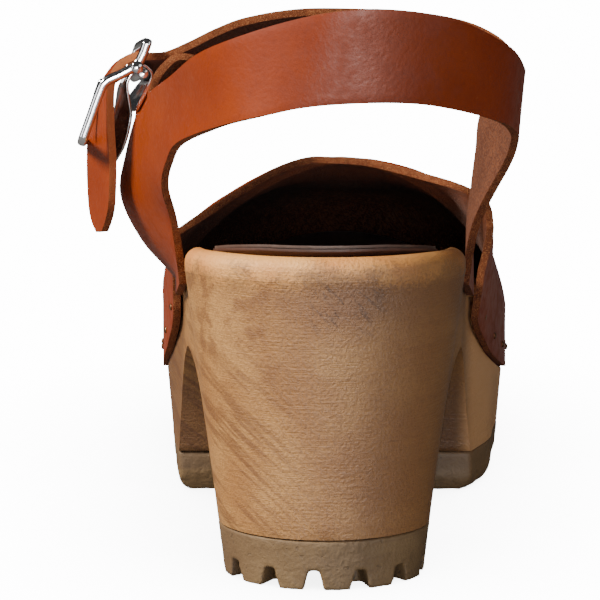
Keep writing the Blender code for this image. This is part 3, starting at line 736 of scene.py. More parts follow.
toe_stations = sorted(SOLE_LENGTH - station for station in end_stations(TOE_ROUND, 22))
stations = end_stations(HEEL_ROUND, 20) + between([HEEL_ROUND, 42, 53, *UNDERSIDE["station"][1:12]], 4)
stations += between(PLATFORM_STATIONS, 6)[1:-1] + toe_stations
sections = [wood_section(station) for station in stations]
depths = [depth for _, section_depths in sections for depth in section_depths]
wood = loft("carved_sole", [ring for ring, _ in sections], [wood_finish], {"below_rim": depths})
soften(wood, 0.6)
stands_for(settle(wood), "wood", "wood_sole")

# %% [markdown]
# A thin sock lies on the footbed. At the heel its edge shows as two layers, a leather top on a fibre
# board, so it is made as two sheets with a hair's width between them.

# %% Insole
INSOLE_INSET = 7.0
INSOLE_LIFT = 0.6
LAYERS = table("lift thickness inset", (0.0, 0.65, 0.0), (0.75, 0.7, 0.4))

sock_finish, tree, shader, spot = finish("insole_sock", Roughness=0.6)
pebble = place(tree, "hide_pebble", Vector=spot, Scale=700.0, Pore_Scale=2200.0)
blotch = place(tree, "handling_blotches", Vector=spot, Scale=60.0)["Mask"]
tone = mix(tree, blotch, linear(58, 32, 22), linear(80, 50, 38))
layer = ease(tree, add(tree, "ShaderNodeAttribute", attribute_name="layer").outputs["Fac"], 0.2, 0.8)
tone = mix(tree, layer, tone, mix(tree, blotch, linear(98, 78, 68), linear(78, 54, 44)))
tone = stain(tree, tone, linear(44, 26, 20), 0.4, pebble["Valleys"])
dress(tree, shader, Base_Color=tone)
relief(tree, shader, pebble["Height"], 0.3, 0.0003)


def sock_point(station, across, inset, lift):
    """A point of the sock, which follows the dish of the footbed."""
    ends = [rim(side, station) - inset * outward(side, station) for side in (OUTER, INNER)]
    half = np.linalg.norm(ends[1] - ends[0]) / 2
    full = max(np.linalg.norm(rim(INNER, station) - rim(OUTER, station)) / 2 - RIM_ROUND, 1)
    point = ends[0] + (ends[1] - ends[0]) * (across + 1) / 2
    share = min(1.0, (across * half / full) ** 2)
    point[2] += lift - smooth(SOLE, "dish", station) * (1 - share)
    return point


sock_stations = end_stations(HEEL_ROUND, 16) + between([HEEL_ROUND, 60, 90, 120, 150, 180], 5)
sock_stations += toe_stations[1:]
shares = np.linspace(-1, 1, 17)
width = len(shares)
size = len(sock_stations) * width
border = [i * width for i in range(len(sock_stations))]
border += [size - width + j for j in range(1, width)]
border += [i * width + width - 1 for i in range(len(sock_stations) - 2, -1, -1)]
border += list(range(width - 2, 0, -1))
points = []
faces = []
marks = []
for number, (lift, thickness, inset) in enumerate(columns(LAYERS)):
    for side_lift in (lift, lift + thickness):
        faces += grid_faces(len(sock_stations), width, start=len(points))
        for station in sock_stations:
            for across in shares:
                points.append(sock_point(station, across, INSOLE_INSET + inset, INSOLE_LIFT + side_lift))
        marks += [float(number)] * size
    over = len(points) - size
    under = over - size
    for a, b in zip(border, border[1:] + border[:1]):
        faces.append((under + a, under + b, over + b, over + a))
sock = piece("insole_layers", points, faces, [sock_finish], {"layer": marks})
soften(sock, 0.12, 2)
stands_for(settle(sock), "insole_leather", "insole")

# %% [markdown]
# Both treads are moulded from one brownish crepe rubber. The heel's has trapezoid lugs all round and one
# groove right through. The forefoot's has lugs further apart and a rounded lower edge. Wedges are cut out
# of a lofted block with a Boolean. A voxel remesh and a few smoothing steps then give every edge the soft
# rounding of a moulding, and a little noise makes the skin uneven.

# %% Rubber finish
rubber_finish, tree, shader, spot = finish("crepe_rubber_skin", Roughness=0.66)
blotch = place(tree, "handling_blotches", Vector=spot, Scale=70.0, Low=0.30, High=0.72)["Mask"]
tone = mix(tree, blotch, linear(118, 92, 58), linear(138, 111, 74))
drawn = place(tree, "drawn_lines", Vector=spot, Stretch=(0.02, 0.02, 0.0012), Low=0.45, High=0.7)
tone = stain(tree, tone, linear(104, 78, 52), 0.25, drawn["Mask"])

# Painted shade darkens an upper band of the platform tread under the wood, the heel tread is darker on its
# outer side, and painted light makes the platform tread paler on its inner side
for colour, share, limits in (
    # Painted shade under the wood
    (linear(84, 62, 42), 0.55, {"Z": (0.0052, 0.0068), "Y": (-0.03, -0.02)}),
    # Darker on the heel tread's outer side
    (linear(92, 66, 44), 0.55, {"X": (0.0, -0.022), "Y": (-0.02, -0.04)}),
    # Painted light on the platform tread's inner side
    (linear(150, 116, 76), 0.60, {"X": (0.020, 0.040), "Y": (-0.04, -0.02)}),
):
    tone = stain(tree, tone, colour, share, zone(tree, spot, **limits))
pits = place(tree, "stray_specks", Vector=spot, Scale=620.0, Rarity=0.70)["Mask"]
tone = stain(tree, tone, linear(72, 52, 34), 0.32, pits)
dress(tree, shader, Base_Color=tone)
pebble = place(tree, "hide_pebble", Vector=spot, Scale=1200.0, Pore_Scale=3000.0)
relief(tree, shader, maths(tree, "SUBTRACT", pebble["Height"], pits), 0.35, 0.0004)
print("made", rubber_finish.name)

# %% Cutting the lugs
LUG_DEPTH = 4.9
NOTCH_PITCH = 11.4
NOTCH_OFFSET = -2.6
NOTCH_FLOOR_WIDTH = 5.2
NOTCH_TOP_WIDTH = 2.6
NOTCH_LENGTH = 9.0
NOTCH_OVERRUN = 2.0
NOTCH_UNDER = -1.0
FIRST_NOTCH = 0.6
LAST_NOTCH = 0.5
RUBBER_WAVES = ((420, 1.0), (1100, 0.6))


def along_outline(outline, offset, pitch):
    """Points at an even pitch along an open outline, counted both ways from its middle."""
    steps = np.linalg.norm(np.diff(outline, axis=0), axis=1)
    length = np.concatenate([[0], np.cumsum(steps)])
    middle = length[len(length) // 2] + offset
    first = middle - pitch * math.floor((middle - pitch * FIRST_NOTCH) / pitch)
    spots = []
    for at in np.arange(first, length[-1] - pitch * LAST_NOTCH, pitch):
        i = int(np.searchsorted(length, at) - 1)
        along = outline[i + 1] - outline[i]
        point = outline[i] + along * (at - length[i]) / steps[i]
        spots.append((point, np.array([-along[1], along[0], 0.0]) / np.linalg.norm(along)))
    return spots


def moulded(body, wedges, voxel, unevenness):
    """Cuts the gaps between the lugs, rounds all edges and roughens the skin a little."""
    shape = bmesh.new()
    for point, inward, height, length in wedges:
        across = np.array([-inward[1], inward[0], 0.0])
        for vert in bmesh.ops.create_cube(shape, size=1.0)["verts"]:
            along, side, up = vert.co
            width = NOTCH_TOP_WIDTH if up > 0 else NOTCH_FLOOR_WIDTH
            spot = point + inward * (length * (along + 0.5) - NOTCH_OVERRUN) + across * side * width
            spot[2] = height if up > 0 else NOTCH_UNDER
            vert.co = to_frame(spot)
    bmesh.ops.recalc_face_normals(shape, faces=shape.faces)
    mesh = bpy.data.meshes.new("wedges")
    shape.to_mesh(mesh)
    shape.free()
    cutter = bpy.data.objects.new("wedges", mesh)
    bpy.context.scene.collection.objects.link(cutter)
    cut = body.modifiers.new("Lugs", "BOOLEAN")
    cut.operation = "DIFFERENCE"
    cut.object = cutter
    skin = body.modifiers.new("Skin", "REMESH")
    skin.mode = "VOXEL"
    skin.voxel_size = voxel * MM
    rounded = body.modifiers.new("Rounded", "SMOOTH")
    rounded.factor = 0.5
    rounded.iterations = 3
    settle(body, 60)
    bpy.data.objects.remove(cutter)
    uneven(body, unevenness, *RUBBER_WAVES)
    return body


print("notches", NOTCH_PITCH, "mm apart,", LUG_DEPTH, "mm deep")

# %% Heel tread
GROOVE_LENGTH = BREAST_STATION + 20
GROOVE_REACH = 1.0

heel_stations = end_stations(HEEL_ROUND, 20) + between([HEEL_ROUND, BREAST_STATION], 8)
heel_top = HEEL_TREAD_HEIGHT - CLEARANCE
rings = []
for station in heel_stations:
    rings.append([wall(side, station, z) for side, z in
                  ((OUTER, 0.0), (OUTER, heel_top), (INNER, heel_top), (INNER, 0.0))])
outline = [wall(OUTER, station, 0.0) for station in reversed(heel_stations)]
outline += [wall(INNER, station, 0.0) for station in heel_stations[1:]]
wedges = []
for point, inward in along_outline(np.array(outline), NOTCH_OFFSET, NOTCH_PITCH):
    if abs(point[0] - NOTCH_OFFSET) < GROOVE_REACH:
        wedges.append((point, np.array([0.0, 1.0, 0.0]), LUG_DEPTH, GROOVE_LENGTH))
    else:
        wedges.append((point, inward, LUG_DEPTH, NOTCH_LENGTH))
heel_tread = moulded(loft("heel_lift_rubber", rings, [rubber_finish]), wedges, voxel=0.5, unevenness=0.10)
stands_for(heel_tread, "crepe_rubber", "heel_tread")

# %% Forefoot tread
FORE_NOTCH_PITCH = 13.0
FORE_NOTCH_LENGTH = 12.0
FORE_TOE_TAPER = 2.0
FORE_EDGE = table("inset height", (2.6, 0), (1.6, 0.7), (0.8, 1.8), (0.2, 3.4), (0, 5.0))

fore_stations = between(PLATFORM_STATIONS, 5)[:-1] + toe_stations
rings = []
for station in fore_stations:
    top = underside(station) - CLEARANCE
    low = underside(station) - FORE_TREAD_HEIGHT
    share = min(1.0, (SOLE_LENGTH - station) / FORE_TOE_TAPER)
    ring = []
    for side in (OUTER, INNER):
        up = [wall(side, station, low + height, -inset * share) for inset, height in columns(FORE_EDGE)]
        up.append(wall(side, station, top))
        if station == FORE_REAR_STATION:
            for point, inset in zip(up, FORE_EDGE["inset"]):
                point[1] += inset / 2
        ring += up if side == OUTER else up[::-1]
    rings.append(ring)
outline = [wall(OUTER, station, 0.0) for station in fore_stations]
outline += [wall(INNER, station, 0.0) for station in reversed(fore_stations[:-1])]
wedges = []
for point, inward in along_outline(np.array(outline)[::-1], 0.0, FORE_NOTCH_PITCH):
    spring = underside(point[1]) - FORE_TREAD_HEIGHT
    wedges.append((point, inward, LUG_DEPTH + spring, FORE_NOTCH_LENGTH))
fore_tread = moulded(loft("platform_rubber", rings, [rubber_finish]), wedges, voxel=0.8, unevenness=0.16)
stands_for(fore_tread, "crepe_rubber", "forefoot_tread")

# %% [markdown]
# The leather is thick, vegetable-tanned and left raw at its cuts. It has three faces to dress: a smooth
# tan grain side with a satin wax finish, a napped flesh side, and cut edges where pale fibres stand in a
# darker core. Solidify can give each of the three its own material, so one sheet carries all of them.

# %% Leather finishes
grain_finish, tree, shader, spot = finish("tan_grain", Specular_IOR_Level=0.28)
pebble = place(tree, "hide_pebble", Vector=spot, Scale=950.0, Pore_Scale=2600.0)
blotch = place(tree, "handling_blotches", Vector=spot, Scale=34.0, Low=0.30, High=0.72)["Mask"]
tone = mix(tree, blotch, linear(133, 48, 10), linear(147, 58, 14))
fine = place(tree, "handling_blotches", Vector=spot, Scale=260.0, Low=0.40, High=0.75)["Mask"]
tone = stain(tree, tone, linear(128, 46, 10), 0.35, fine)
tone = stain(tree, tone, linear(112, 42, 13), 0.25, pebble["Valleys"])
specks = place(tree, "stray_specks", Vector=spot, Scale=620.0, Rarity=0.75)["Mask"]
tone = stain(tree, tone, linear(196, 118, 70), 0.16, specks)
dress(tree, shader, Base_Color=tone, Roughness=scaled(tree, fine, 0.16, 0.42))
relief(tree, shader, pebble["Height"], 0.17, 0.00035)

# The flesh side, with painted light making it paler high inside the collar, so it is darker deeper in
flesh_finish, tree, shader, spot = finish(
    "napped_flesh", Roughness=0.95, Sheen_Weight=0.06, Specular_IOR_Level=0.15
)
nap = place(tree, "stray_specks", Vector=spot, Scale=1500.0, Rarity=0.46)["Mask"]
blotch = place(tree, "handling_blotches", Vector=spot, Scale=90.0)["Mask"]
tone = mix(tree, blotch, linear(88, 45, 25), linear(106, 59, 36))
tone = stain(tree, tone, linear(146, 92, 60), 0.36, nap)
strands = place(tree, "drawn_lines", Vector=spot, Turn=(0.4, 0.9, 0.3), Stretch=(0.004, 0.0006, 0.0006))
tone = stain(tree, tone, linear(78, 38, 21), 0.4, strands["Mask"])
# Painted light: the flesh is paler near the top of the collar, leaving the deeper inside darker as shade
collar = zone(tree, spot, Y=(-0.030, -0.018), Z=(0.066, 0.080))
tone = stain(tree, tone, linear(178, 98, 56), 0.80, collar)
dress(tree, shader, Base_Color=tone)
relief(tree, shader, maths(tree, "ADD", nap, strands["Lines"]), 0.7, 0.0005)

# The cut edges, with painted light making them paler along the lit tail of the strap
edge_finish, tree, shader, spot = finish("raw_cut_edge", Roughness=0.9, Specular_IOR_Level=0.2)
fibres = place(tree, "stray_specks", Vector=spot, Scale=4200.0, Rarity=0.52)["Mask"]
blotch = place(tree, "handling_blotches", Vector=spot, Scale=420.0)["Mask"]
tone = mix(tree, blotch, linear(102, 50, 25), linear(130, 70, 38))
tone = stain(tree, tone, linear(190, 124, 78), 0.55, fibres)
# Painted light: cut edges on the lit outer side, by the tail and the buckle, are paler
tail = zone(tree, spot, X=(-0.036, -0.040), Z=(0.080, 0.086))
tone = stain(tree, tone, linear(206, 122, 74), 0.70, tail)
dress(tree, shader, Base_Color=tone)
relief(tree, shader, fibres, 0.8, 0.0005)
LEATHER_FINISHES = [grain_finish, flesh_finish, edge_finish]
print("made", [made.name for made in LEATHER_FINISHES])

# %% [markdown]
# A leather piece starts as a grid, one point thick. Slow noise makes it a little uneven, as a hide is,
# Solidify gives it two millimetres, and a small Bevel takes the sharpness off its cut edges.

# %% Leather sheets
CUT_EDGE_ROUND = 0.4
HIDE_UNEVENNESS = 0.22
HIDE_WAVES = ((38, 1.0), (120, 0.35))


def thick_leather(body, offset):
    """Gives a sheet of leather its thickness, its rounded cut edges and its three finishes."""
    uneven(body, HIDE_UNEVENNESS, *HIDE_WAVES)
    shell = body.modifiers.new("Thickness", "SOLIDIFY")
    shell.thickness = LEATHER * MM
    shell.offset = offset
    shell.use_quality_normals = True
    shell.material_offset = 1
    shell.material_offset_rim = 2
    soften(body, CUT_EDGE_ROUND)
    return settle(body, 60)


print("leather is", LEATHER, "mm thick")

# %% [markdown]
# The vamp covers the toes. It is one sheet, stretched wet over a last and nailed to the seat that is
# carved under the sole's rim. Ribs stand on that seat all round the toe: those at the back end on the
# collar, and those at the front meet on the ridge over the toes. Walking leaves shallow folds across
# the ball of the foot, so a few soft troughs are placed there.

# %% Vamp
VAMP = table(
    "side station top_x top_station top_z rise flare reach drop spread",
    (OUTER, 98, -39.6, 98, 70.2, 3, 1.0, 0.5, 2.5, 0),
    (OUTER, 106, -32.0, 106, 73.8, 7, 1.5, 4, 3, 0),
    (OUTER, 116, -23.0, 116.5, 78.4, 10, 2.0, 9, 4.5, 0),
    (OUTER, 129, -11.5, 131.5, 82.5, 12, 2.0, 15, 5.5, 0),
    (OUTER, 138, -3.5, 139, 83.8, 12.5, 1.7, 19, 4, 0),
    (OUTER, 146, 4.5, 142, 83.4, 13, 1.5, 22, 1.5, 0),
    (OUTER, 162, 5.0, 153.5, 80.9, 14, 1.0, 24, 1.5, 0),
    (OUTER, 180, 5.5, 166.5, 77.8, 16, 0.5, 25, 1.5, 0),
    (OUTER, 200, 6.0, 179.5, 74.0, 20, 0.5, 25, 2, 0),
    (OUTER, 222, 6.5, 190, 70.6, 20, 0.5, 24, 3, 0),
    (OUTER, 240, 6.5, 197, 68.4, 20, 0.5, 24, 5, 0),
    (INNER, 250, 6.0, 200, 67.6, 20, 0.5, 26, 6, 0),
    (INNER, 240, 6.5, 197, 68.4, 20, 0.5, 24, 5, 0),
    (INNER, 222, 6.5, 190, 70.6, 20, 0.0, 24, 3, 0),
    (INNER, 200, 6.0, 179.5, 74.0, 20, -0.5, 24, 2, 0),
    (INNER, 180, 5.5, 166.5, 77.8, 20, -1.0, 24, 1, 0),
    (INNER, 162, 5.0, 153.5, 80.9, 20, -1.8, 24, 1, 0),
    (INNER, 148, 4.5, 142, 83.4, 19, -2.5, 23, 1, 0),
    (INNER, 142, 11.0, 141, 83.0, 19, -2.4, 19, 1, 0),
    (INNER, 136, 17.5, 137, 82.2, 19.5, -2.2, 15, 1, 0),
    (INNER, 127, 27.0, 128.5, 80.9, 17, -1.4, 9, 3, 0.2),
    (INNER, 116, 36.6, 116, 79.8, 13, 0.8, 4, 5, 0.8),
    (INNER, 107, 41.6, 106, 78.0, 9, 1.8, 1.5, 6, 1.5),
    (INNER, 100, 42.6, 99, 73.0, 6, 1.4, 0.5, 5, 1.8),
)
VAMP_SPANS = ((0, 5, OUTER), (5, 11, OUTER), (11, 17, INNER), (17, 23, INNER))
VAMP_STEPS = 10
SKIRT_POINTS = 6
RIB_POINTS = 22
FOLDS = table(
    "station slant width depth",
    (163, 0.10, 4.0, 0.5),
    (171, 0.06, 4.5, 0.8),
    (180, 0.12, 4.0, 0.6),
)
FOLD_SHARE = table("z share", (0, 0), (62, 0), (72, 1), (100, 1))
NEAR_ZERO = 0.001


def vamp_rib(row):
    """Points of one rib: up the sole's side, then in a curve to the collar or the ridge."""
    side, station, top_x, top_station, top_z, rise, flare, reach, drop, spread = row
    side = INNER if side > 0 else OUTER
    station = min(station, SOLE_LENGTH)
    high = rim(side, station)[2]
    low = seat_end(side, station)
    *skirt, foot = (
        seat(side, station, low + (high - low) * share, SEAT_CLEARANCE + spread * share)
        for share in np.linspace(0, 1, SKIRT_POINTS + 1)
    )
    top = np.array([top_x, top_station, top_z])
    inward = (foot - top) * np.array([1, 1, 0])
    inward = inward / max(np.linalg.norm(inward), NEAR_ZERO)
    raised = foot + outward(side, station) * flare + np.array([0, 0, rise])
    near_top = top + inward * reach - np.array([0, 0, drop])
    rib = []
    for t in np.linspace(0, 1, RIB_POINTS):
        weights = ((1 - t) ** 3, 3 * t * (1 - t) ** 2, 3 * t * t * (1 - t), t ** 3)
        rib.append(sum(w * p for w, p in zip(weights, (foot, raised, near_top, top))))
    return [*skirt, *rib]


def fold(point):
    """A point of the vamp, pressed down a little in the folds over the ball of the foot."""
    free = smooth(FOLD_SHARE, "share", point[2])
    for station, slant, width, depth in columns(FOLDS):
        away = (point[1] - station - slant * abs(point[0])) / width
        point = point - np.array([0, 0, depth * free * math.exp(-away * away)])
    return point


rows = columns(VAMP)
ribs = []
for first, last, side in VAMP_SPANS:
    span = through(rows[first:last + 1], VAMP_STEPS)
    span[:, 0] = side
    ribs += [vamp_rib(row) for row in (span[1:] if ribs else span)]
points = [fold(point) for rib in ribs for point in rib]
vamp = piece("vamp_leather", points, grid_faces(len(ribs), len(ribs[0])), LEATHER_FINISHES)
turn_out(vamp, (0, 0, 1), lambda faces: max(faces, key=lambda face: face.center.z))
stands_for(thick_leather(vamp, 1), "tan_leather", "vamp")

# %% [markdown]
# The ankle strap is one long cutting: two legs nailed to the sole, a band round the heel, a short ear
# that curls in at the outer side, and the instep strap that goes through the buckle and hangs down as a
# tail. Cross lines of the strap are given in a table, and a smooth path runs through them. The ear and
# the instep strap start on the upper edge of the band, so they share its points there.

# %% Ankle strap
STRAP_STEPS = 8
STRAP_ACROSS = 11
EAR_BASE = (5, 6)
INSTEP_BASE = (13, 15)
STRAP_COLUMNS = "low_x low_station low_z high_x high_station high_z"
HEEL_STRAP = table(
    STRAP_COLUMNS,
    (-37.4, 62, 76.0, -46.8, 87, 72.0),
    (-38.4, 59, 82.5, -52.0, 83, 84.0),
    (-39.9, 50, 91.5, -50.6, 81, 94.5),
    (-38.5, 42, 98.5, -47.5, 74, 105.0),
    (-35.8, 34, 104.1, -43.6, 62, 113.0),
    (-28.5, 20, 109.3, -37.5, 40, 120.0),
    (-18.0, 7, 114.0, -26.0, 15, 130.5),
    (0.0, 2, 118.0, 2.0, 2, 140.0),
    (22.0, 6, 117.8, 27.0, 8, 138.5),
    (40.0, 21, 112.1, 42.5, 21, 130.5),
    (46.0, 35, 107.0, 48.0, 40, 122.0),
    (46.3, 41, 102.5, 47.3, 56, 120.0),
    (44.8, 45, 97.5, 43.8, 69, 113.0),
    (42.4, 48, 92.5, 40.2, 77, 105.0),
    (39.8, 52, 86.5, 39.4, 79, 96.0),
    (37.8, 57, 80.5, 38.4, 81, 86.5),
    (36.9, 61, 75.0, 37.6, 84, 76.5),
)
LEG_FEET = table("low_station low_z high_station high_z", (66, 68, 91, 61), (67.5, 63.5, 92, 56))
EAR = table(
    STRAP_COLUMNS,
    (-46.8, 74.3, 108.4, -42.6, 62.5, 116.5),
    (-44.9, 74.6, 110.0, -40.5, 63, 119.6),
    (-41.2, 75.4, 110.4, -37.3, 64, 122.0),
    (-35.0, 77.5, 111.6, -32.6, 65, 121.6),
    (-31.5, 77, 111.6, -29.8, 66, 119.5),
)
INSTEP_STRAP = table(
    STRAP_COLUMNS,
    (45.0, 65, 124.8, 42.5, 86, 112.5),
    (38.0, 71, 128.5, 37.0, 91, 119.5),
    (27.0, 74.5, 130.8, 26.5, 93.5, 123.8),
    (12.0, 76, 132.0, 12.0, 94.5, 125.8),
    (-6.0, 76, 132.0, -6.0, 94, 126.0),
    (-19.4, 76, 130.0, -19.4, 94, 124.6),
    (-27.0, 75.5, 127.4, -27.4, 93.5, 120.8),
    (-34.0, 75, 124.0, -34.8, 92.6, 117.0),
)
BUCKLE_X = -47.0
BUCKLE_STATION = 72.0
BUCKLE_TURN = math.radians(9)
BUCKLE_DROP = 0.17
FRAME_WIDTH = 21.0
STRAP_WIDTH = 17.4
STRAP_IN_BUCKLE = table(
    "out z turn width dip",
    (-7.2, 121.6, 0, 1.0, 3.5),
    (-3.0, 121.2, 0, 1.0, 1.0),
    (0.3, 121.5, 0, 1.0, 0),
    (3.6, 120.2, 0, 1.0, 0),
    (6.0, 117.5, 0, 1.0, 0),
    (7.6, 114.0, 3, 1.0, 0),
    (8.6, 109.5, 8, 1.0, 0),
    (9.1, 103.0, 12, 1.0, 0),
    (9.1, 96.3, 14, 1.0, 0),
    (9.1, 89.5, 14, 0.98, 0),
    (9.1, 83.0, 14, 0.86, 0),
    (9.1, 79.2, 14, 0.60, 0),
    (9.0, 76.4, 14, 0.22, 0),
)


def buckle_point(across, out, z):
    """A point given in the buckle's own directions: across the strap, outward and up."""
    x = BUCKLE_X - across * math.sin(BUCKLE_TURN) - out * math.cos(BUCKLE_TURN)
    station = BUCKLE_STATION + across * math.cos(BUCKLE_TURN) - out * math.sin(BUCKLE_TURN)
    return np.array([x, station, z - across * BUCKLE_DROP])


def leg_rows(side):
    """The cross lines of a leg's foot, which lies on the sole's side wall."""
    rows = []
    for low_station, low_z, high_station, high_z in columns(LEG_FEET):
        low = wall(side, low_station, low_z, CLEARANCE + LEATHER / 2)
        rows.append(np.concatenate([low, wall(side, high_station, high_z, CLEARANCE + LEATHER / 2)]))
    return rows


def strap_in_buckle():
    """The cross lines of the strap where it runs through the buckle and hangs as its tail."""
    rows = []
    for out, z, turn, width, dip in columns(STRAP_IN_BUCKLE):
        half = STRAP_WIDTH * width / 2
        swing = half * math.sin(math.radians(turn))
        reach = half * math.cos(math.radians(turn))
        low = buckle_point(FRAME_WIDTH / 2 - reach, out - swing, z)
        rows.append(np.concatenate([low, buckle_point(FRAME_WIDTH / 2 + reach, out + swing, z - dip)]))
    return rows


def beside_sole(point):
    """A point of the strap, kept outside the sole's wall below the rim."""
    side = INNER if point[0] > 0 else OUTER
    station = min(max(point[1], 0.0), SOLE_LENGTH)
    if point[2] < rim(side, station)[2]:
        nearest = wall(side, station, point[2], CLEARANCE + LEATHER / 2)
        if side * point[0] < side * nearest[0]:
            return nearest
    return point


def sheet_points(rows, shares):
    """Points across each cross line of a strap."""
    return [row[:3] + (row[3:] - row[:3]) * share for row in rows for share in shares]


heel_path = through(leg_rows(OUTER)[::-1] + list(columns(HEEL_STRAP)) + leg_rows(INNER), STRAP_STEPS)
points = [beside_sole(point) for point in sheet_points(heel_path, np.linspace(0, 1, STRAP_ACROSS))]
faces = grid_faces(len(heel_path), STRAP_ACROSS)
branches = ((EAR_BASE, columns(EAR)), (INSTEP_BASE, list(columns(INSTEP_STRAP)) + strap_in_buckle()))
for (first, last), rows in branches:
    base = heel_path[first * STRAP_STEPS:last * STRAP_STEPS + 1, 3:]
    path = through([np.concatenate([base[0], base[-1]]), *rows], STRAP_STEPS)
    faces += grid_faces(len(path), len(base), start=len(points))
    points += list(base) + sheet_points(path[1:], np.linspace(0, 1, len(base)))
strap = piece("ankle_strap_leather", points, faces, LEATHER_FINISHES)
turn_out(strap, (0, -1, 0), lambda faces: min(faces, key=lambda face: face.center.y))
stands_for(thick_leather(strap, 0), "tan_leather", "ankle_strap")

# %% [markdown]
# The clasp is polished steel under chrome. The frame is a flattened wire bent to a loop, so a rounded
# section is swept along its path. A bar, a prong and a folded hook plate complete it. Fine scratches
# dull the polish a little. Chrome has almost no colour of its own: it shows the lamps and the dark
# leather around it.

# %% Metal finish
chrome_finish, tree, shader, spot = finish("polished_chrome", Metallic=1.0)
blotch = place(tree, "handling_blotches", Vector=spot, Scale=220.0, Low=0.35, High=0.75)["Mask"]
scratches = place(tree, "drawn_lines", Vector=spot, Turn=(0.3, 0.5, 0.2), Stretch=(0.006, 0.0003, 0.0003))
tone = mix(tree, blotch, linear(236, 236, 238), linear(214, 214, 218))
dress(tree, shader, Base_Color=tone, Roughness=scaled(tree, scratches["Mask"], 0.10, 0.05))
relief(tree, shader, scratches["Lines"], 0.05, 0.0002)
print("made", chrome_finish.name)

# %% Buckle frame
FRAME_WIRE = 1.25
FRAME_SQUARENESS = 3.0
FRAME_PROFILE = table(
    "out z closer",
    (-1.9, 124.8, 0),
    (-0.8, 121.8, 0),
    (1.0, 119.0, 0),
    (4.6, 116.9, 0.5),
    (8.9, 114.8, 1.2),
    (10.7, 111.3, 1.6),
    (12.8, 105.6, 1.8),
    (14.8, 100.2, 1.8),
)
FIRST_ACROSS = np.array([0.3, 0.9, 0.2])


def round_section(radius, sides=16, squareness=2.0):
    """A closed section; a squareness over 2 flattens its four sides."""
    section = []
    for angle in np.arange(sides) * 2 * math.pi / sides:
        across, up = math.cos(angle), math.sin(angle)
        reach = (abs(across) ** squareness + abs(up) ** squareness) ** (-1 / squareness)
        section.append((radius * across * reach, radius * up * reach))
    return section


def corner_cut(points, times):
    """Rounds the corners of a closed path, by cutting each of them a few times."""
    for _ in range(times):
        ahead = np.roll(points, -1, axis=0)
        points = np.stack([0.75 * points + 0.25 * ahead, 0.25 * points + 0.75 * ahead], axis=1)
        points = points.reshape(-1, 3)
    return points


def sweep(path, section, radii, closed):
    """Rings of a section along a path, turned with the path and scaled by the radii."""
    path = np.array(path)
    ahead = np.roll(path, -1, axis=0) if closed else np.vstack([path[1:], 2 * path[-1] - path[-2]])
    behind = np.roll(path, 1, axis=0) if closed else np.vstack([2 * path[0] - path[1], path[:-1]])
    rings = []
    across = FIRST_ACROSS
    for point, tangent, radius in zip(path, ahead - behind, radii):
        tangent = tangent / np.linalg.norm(tangent)
        across = across - tangent * np.dot(across, tangent)
        across = across / np.linalg.norm(across)
        up = np.cross(tangent, across)
        rings.append([point + radius * (a * across + b * up) for a, b in section])
    return rings


side_path = through(columns(FRAME_PROFILE), 5)
near = [buckle_point(0.0, out, z) for out, z, _ in side_path]
far = [buckle_point(FRAME_WIDTH, out - closer, z) for out, z, closer in side_path[::-1]]
loop = corner_cut(np.array(near + far), 3)
rings = sweep(loop, round_section(FRAME_WIRE, 20, FRAME_SQUARENESS), np.ones(len(loop)), True)
points = [point for ring in rings for point in ring]
open_faces = grid_faces(len(rings) + 1, len(rings[0]), closed=True)
faces = [tuple(i % len(points) for i in face) for face in open_faces]
buckle = piece("buckle_loop", points, faces, [chrome_finish])
stands_for(settle(buckle), "chrome", "buckle_frame")

# %% [markdown]
# A bar joins the two sides of the frame. Its riveted head lies on the near side of the wire, so bar and
# head are two turned shapes in one mesh. The prong lies over the strap and tapers towards its tip.

# %% Bar and prong
BAR_RADIUS = 1.2
BAR_OUT = -0.8
BAR_Z = 116.8
BAR_SIDES = 24
HEAD_OUT = 0.9
HEAD_Z = 118.4
BAR = table(
    "across radius",
    (-FRAME_WIRE, 0.05), (-FRAME_WIRE + 0.1, BAR_RADIUS),
    (FRAME_WIDTH + FRAME_WIRE - 0.1, BAR_RADIUS), (FRAME_WIDTH + FRAME_WIRE, 0.05),
)
BAR_HEAD = table(
    "across radius",
    (-2.3, 0.05), (-2.25, 0.9), (-2.0, 1.45), (-1.7, 1.6), (-1.35, 1.6), (-1.3, 0.05),
)
PRONG_RADIUS = 0.8
PRONG_TIP = 0.72
PRONG_END = 0.4
PRONG_PROFILE = table("out z", (8.8, 116.2), (10.2, 112.0), (11.9, 106.8), (13.8, 102.6))

points = []
faces = []
for turned_shape, out, z in ((BAR, BAR_OUT, BAR_Z), (BAR_HEAD, HEAD_OUT, HEAD_Z)):
    path = [buckle_point(across, out, z) for across in turned_shape["across"]]
    rings = sweep(path, round_section(1.0, BAR_SIDES), turned_shape["radius"], False)
    faces += grid_faces(len(rings), BAR_SIDES, len(points), closed=True)
    points += [point for ring in rings for point in ring]
bar = piece("buckle_crossbar", points, faces, [chrome_finish])
soften(bar, 0.15, 3, 30)
stands_for(settle(bar), "chrome", "buckle_bar")

path = [buckle_point(FRAME_WIDTH / 2, out, z) for out, z in through(columns(PRONG_PROFILE), 6)]
taper = np.linspace(1.0, PRONG_TIP, len(path))
taper[[0, -1]] = PRONG_END
rings = sweep(path, round_section(PRONG_RADIUS, 16), taper, False)
prong = loft("buckle_pin", rings, [chrome_finish])
stands_for(settle(prong), "chrome", "buckle_prong")

# %% [markdown]
# The hook is a strip of sheet metal folded over the bar. Its long side ends in a narrow tip that lies
# on the outer leg. It is a thin grid with thickness, and its edges are rounded so that they catch a
# bright line of light.

